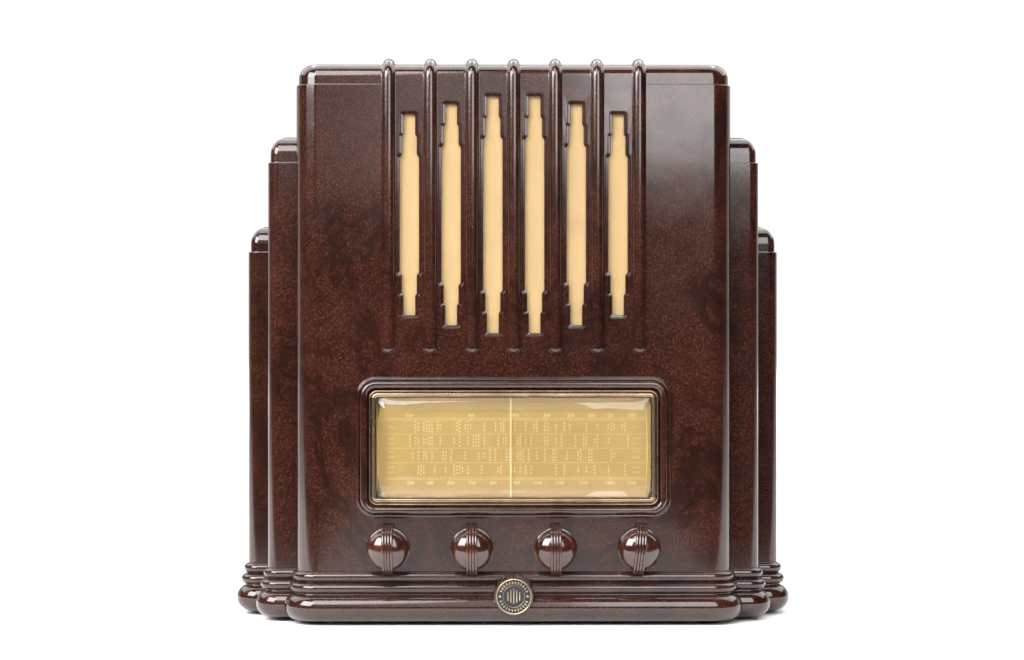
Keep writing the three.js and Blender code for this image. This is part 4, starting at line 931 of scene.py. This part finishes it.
def board_material():
    """Pressed wood fibre: brown blotches, lighter and darker hairs, and a felted surface."""
    made, tree, shader, at = start_material("pressed_board", roughness=0.78)
    wear = use_group(tree, WEAR, at)
    flat = add_node(tree, "ShaderNodeVectorMath", {0: at, 1: (260, 260, 1400)}, operation="MULTIPLY")
    hair = noise(tree, flat.outputs[0], 1.0, 4, 0.7, 1.2)
    colour = blotched(tree, wear, (0.16, 0.085, 0.04), (0.24, 0.135, 0.068), 0.25, 0.75)
    colour = mix(tree, ramp(tree, hair, [(0.45, 0), (0.75, 0.6)]), colour, (0.09, 0.05, 0.028))
    feed(tree, shader, "Base Color", colour)
    bump(tree, shader, math(tree, "ADD", hair, wear["Grain"]), 0.35, 0.0003)
    return made


def cloth_material():
    """Gold cloth of fine crossed threads, a little darker where it has aged."""
    made, tree, shader, at = start_material(
        "gold_cloth", roughness=0.85, sheen_weight=0.25, sheen_roughness=0.5)
    split = add_node(tree, "ShaderNodeSeparateXYZ", {0: at})
    across, along = (
        math(tree, "SINE", math(tree, "MULTIPLY", split.outputs[axis], 2 * np.pi / pitch), 0)
        for axis, pitch in (("X", 0.00095), ("Z", 0.00085)))
    weave = math(tree, "ADD", math(tree, "MULTIPLY", math(tree, "MULTIPLY", across, along), 0.5), 0.5)
    wear = use_group(tree, WEAR, at)
    colour = ramp(tree, wear["Blotches"], [
        (0.25, (0.435, 0.298, 0.143)), (0.6, (0.4, 0.272, 0.126)), (0.8, (0.34, 0.214, 0.088))])
    colour = mix(tree, math(tree, "MULTIPLY", weave, 0.3), colour, (0.36, 0.22, 0.085))
    feed(tree, shader, "Base Color", colour)
    bump(tree, shader, math(tree, "ADD", weave, math(tree, "MULTIPLY", wear["Grain"], 0.5)), 0.5, 0.0003)
    return made


def scale_material():
    """Gold lacquer on a flat plate, in soft lighter and darker blotches."""
    made, tree, shader, at = start_material("scale_gold", roughness=0.45)
    wear = use_group(tree, WEAR, at)
    feed(tree, shader, "Base Color", blotched(tree, wear, (0.65, 0.43, 0.145), (0.585, 0.38, 0.12), 0.25))
    bump(tree, shader, wear["Grain"], 0.1, 0.0001)
    return made


def ink_material():
    made, tree, shader, at = start_material("cream_ink", roughness=0.6)
    wear = use_group(tree, WEAR, at)
    feed(tree, shader, "Base Color", blotched(tree, wear, (0.86, 0.69, 0.37), (0.8, 0.62, 0.31)))
    return made


def glass_material(name, colour, rough=0.0):
    """Clear glass, faintly uneven in tint and polish."""
    made, tree, shader, at = start_material(name, ior=1.5, metallic=0.0, transmission_weight=1.0)
    wear = use_group(tree, WEAR, at)
    feed(tree, shader, "Base Color", blotched(tree, wear, colour, tuple(0.97 * v for v in colour)))
    feed(tree, shader, "Roughness", blotched(tree, wear, rough, rough + 0.004, 0.35, 0.75))
    return made


BAKELITE = moulding_material(
    "bakelite", (0.024, 0.007, 0.0045), (0.034, 0.0098, 0.0062), (0.047, 0.014, 0.0082),
    scale=16.0, rough=(0.11, 0.18), clear=0.3)
KNOB_RESIN = moulding_material(
    "knob_resin", (0.024, 0.006, 0.0035), (0.045, 0.0105, 0.005), (0.075, 0.018, 0.007),
    scale=60.0, rough=(0.14, 0.22), clear=0.8)
PLASTIC = matte_material("valve_base", (0.03, 0.02, 0.016), (0.018, 0.012, 0.01), 0.35, 0.1)
BEZEL = brass_material("aged_brass", (0.335, 0.25, 0.172), (0.2, 0.142, 0.095), (0.22, 0.36))
BADGE_METAL = brass_material("badge_metal", (0.78, 0.66, 0.42), (0.45, 0.36, 0.22), (0.22, 0.38))
ENAMEL = matte_material("badge_enamel", (0.004, 0.005, 0.009), (0.008, 0.009, 0.014), 0.55, 0.05)
POINTER = matte_material("pointer_paint", (0.98, 0.86, 0.5), (0.94, 0.8, 0.45), 0.4, 0.05)
STEEL = metal_material("steel", (0.55, 0.55, 0.56), (0.32, 0.31, 0.3), 0.3)
PLATED = metal_material("plated_steel", (0.42, 0.42, 0.41), (0.27, 0.25, 0.22), 0.42)
ALUMINIUM = metal_material("aluminium", (0.72, 0.73, 0.74), (0.5, 0.5, 0.5), 0.32)
BLACK = metal_material("black_enamel", (0.02, 0.02, 0.021), (0.035, 0.033, 0.03), 0.38, 0.0)
RUBBER = matte_material("rubber", (0.018, 0.018, 0.018), (0.03, 0.029, 0.028), 0.75)
CONE = matte_material("cone_paper", (0.05, 0.045, 0.04), (0.03, 0.028, 0.025), 0.95, 0.6)
WAXED = matte_material("waxed_paper", (0.42, 0.27, 0.1), (0.3, 0.18, 0.07), 0.5, 0.4)
BOARD = board_material()
CLOTH = cloth_material()
SCALE = scale_material()
INK = ink_material()
# Painted shadow colour: dull dark brown for the strips at the scale plate's ends, where the gap round the
# plate lies in shade.
PAINTED_EDGE_SHADOW = matte_material("painted_edge_shadow", (0.17, 0.14, 0.075), (0.1, 0.08, 0.04), 0.6)
GLASS = glass_material("dial_glass", (0.98, 0.98, 0.96))
BULB = glass_material("bulb_glass", (0.9, 0.9, 0.86), 0.03)

FINISHES = {
    "bakelite": BAKELITE, "knob_plastic": KNOB_RESIN, "valve_base_plastic": PLASTIC, "bezel_brass": BEZEL,
    "badge_enamel": BADGE_METAL, "pointer_brass": POINTER, "shaft_steel": STEEL, "chassis_steel": PLATED,
    "can_aluminium": ALUMINIUM, "black_paint": BLACK, "clear_glass": GLASS, "valve_glass": BULB,
    "scale_print": SCALE, "grille_cloth": CLOTH, "board": BOARD, "cone_paper": CONE, "winding_paper": WAXED,
    "rubber": RUBBER,
}
for part in frame["record"]["subparts"]:
    held = nodes[part["node"]].data.materials
    held.clear()
    held.append(FINISHES[part["material_slot"]])

# ---- Assembly --------------------

build_case(BAKELITE)
build_bezel(BEZEL)
build_glass(GLASS)
build_print(INK)
# Painted shadow strips along the ends of the scale plate.
build_scale_edge(PAINTED_EDGE_SHADOW)
build_badge(BADGE_METAL, ENAMEL)
for knob_name, knob_x in KNOB_X.items():
    build_knob(knob_name, knob_x, BAND_KNOB_TURN if knob_name == "band" else 0.0, KNOB_RESIN)
build_cloth(CLOTH)
build_cover(BOARD)

# ---- Stage --------------------


def add_floor():
    """A white table top with a narrower grey sheet in front of it, which is what the lower face mirrors."""
    wide, back, edge, narrow, front = 8, 14, -0.45, 0.19, -1.22
    corners = [
        (-wide, edge), (wide, edge), (wide, back), (-wide, back),
        (narrow, edge), (-narrow, edge), (-narrow, front), (narrow, front),
    ]
    mesh = bpy.data.meshes.new("floor")
    mesh.from_pydata([(x, y, 0) for x, y in corners], [], [(0, 5, 4, 1, 2, 3), (6, 7, 4, 5)])
    floor = bpy.data.objects.new("floor", mesh)
    bpy.context.scene.collection.objects.link(floor)
    for name, level in (("table_white", 0.93), ("sheet_grey", 0.36)):
        paper = bpy.data.materials.new(name)
        paper.use_nodes = True
        shader = paper.node_tree.nodes["Principled BSDF"]
        shader.inputs["Base Color"].default_value = (level, level, level, 1)
        shader.inputs["Roughness"].default_value = 0.9
        shader.inputs["Specular IOR Level"].default_value = 0.1
        mesh.materials.append(paper)
    mesh.polygons[1].material_index = 1


def add_light(name, place, aim, size, radiance):
    """A soft rectangular light at place, turned to aim; size is (width, height) in metres."""
    light = bpy.data.lights.new(name, "AREA")
    light.shape, light.size, light.size_y = "RECTANGLE", size[0], size[1]
    light.energy = radiance * np.pi * size[0] * size[1]
    made = bpy.data.objects.new(name, light)
    made.location = place
    made.rotation_euler = (Vector(aim) - Vector(place)).to_track_quat("-Z", "Y").to_euler()
    bpy.context.scene.collection.objects.link(made)


def add_world():
    """White backdrop and even fill; the surfaces mirror white behind the object and a dim room in front."""
    world = bpy.data.worlds.new("studio")
    bpy.context.scene.world = world
    world.use_nodes = True
    tree = world.node_tree
    tree.nodes.clear()
    ray = add_node(tree, "ShaderNodeTexCoord").outputs["Generated"]
    toward = add_node(tree, "ShaderNodeSeparateXYZ", {0: ray})
    steep = math(tree, "MULTIPLY", math(tree, "ABSOLUTE", toward.outputs["Z"]), 0.8)
    level = math(tree, "SUBTRACT", toward.outputs["Y"], steep)
    back = ramp(tree, level, [(0.0, 0.02), (0.2, 0.04), (0.5, 0.8)])
    room = add_node(tree, "ShaderNodeBackground", {"Color": back, "Strength": 1.0})
    fill = add_node(tree, "ShaderNodeBackground", {"Color": (1, 1, 1, 1), "Strength": 0.42})
    white = add_node(tree, "ShaderNodeBackground", {"Color": (1, 1, 1, 1), "Strength": 1.1})
    path = add_node(tree, "ShaderNodeLightPath").outputs
    both = room
    for which, light in (("Is Diffuse Ray", fill), ("Is Camera Ray", white)):
        given = {0: path[which], 1: both.outputs[0], 2: light.outputs[0]}
        both = add_node(tree, "ShaderNodeMixShader", given)
    out = add_node(tree, "ShaderNodeOutputWorld")
    tree.links.new(both.outputs[0], out.inputs["Surface"])


add_floor()
add_world()
for light in (
    ("key_box", (0.6, -1.75, 1.28), (0.3, 0, 1.28), (0.95, 1.62), 6.0),
    ("soft_box", (-0.02, -2.1, 1.35), (-0.02, 0, 1.35), (0.4, 1.8), 1.3),
    ("dim_box", (-0.45, -2.1, 1.35), (-0.45, 0, 1.35), (0.44, 1.8), 0.6),
    ("left_box", (-1.15, -1.1, 1.05), (0, 0, 0.3), (1.1, 1.0), 14.0),
    ("high_left_box", (-0.5, -1.5, 1.75), (-0.1, 0, 0.4), (0.75, 1.3), 8.5),
    ("top_box", (0.0, 0.3, 1.3), (0.0, 0.2, 0), (1.0, 1.1), 3.6),
    ("table_wash_left", (-1.6, 0.9, 1.9), (-0.6, 0.6, 0), (2.2, 2.2), 3.0),
    ("table_wash_right", (1.6, 0.9, 1.9), (0.6, 0.6, 0), (2.2, 2.2), 3.0),
    ("table_wash_back", (0.0, 6.0, 4.0), (0, 9.0, 0), (12, 8), 6.0),
):
    add_light(*light)

camera_data = bpy.data.cameras.new("camera")
camera_data.lens, camera_data.sensor_width = 83.3, 36.0
camera_data.shift_x, camera_data.shift_y = -0.0011, 0.0013
camera = bpy.data.objects.new("camera", camera_data)
camera.location = (-0.0146, -MIDDLE_Y * 0.001 - 1.8, 0.2233)
camera.rotation_euler = (np.radians(90), 0, np.radians(-0.45))
bpy.context.scene.collection.objects.link(camera)
bpy.context.scene.camera = camera
bpy.context.scene.view_settings.view_transform = "Standard"
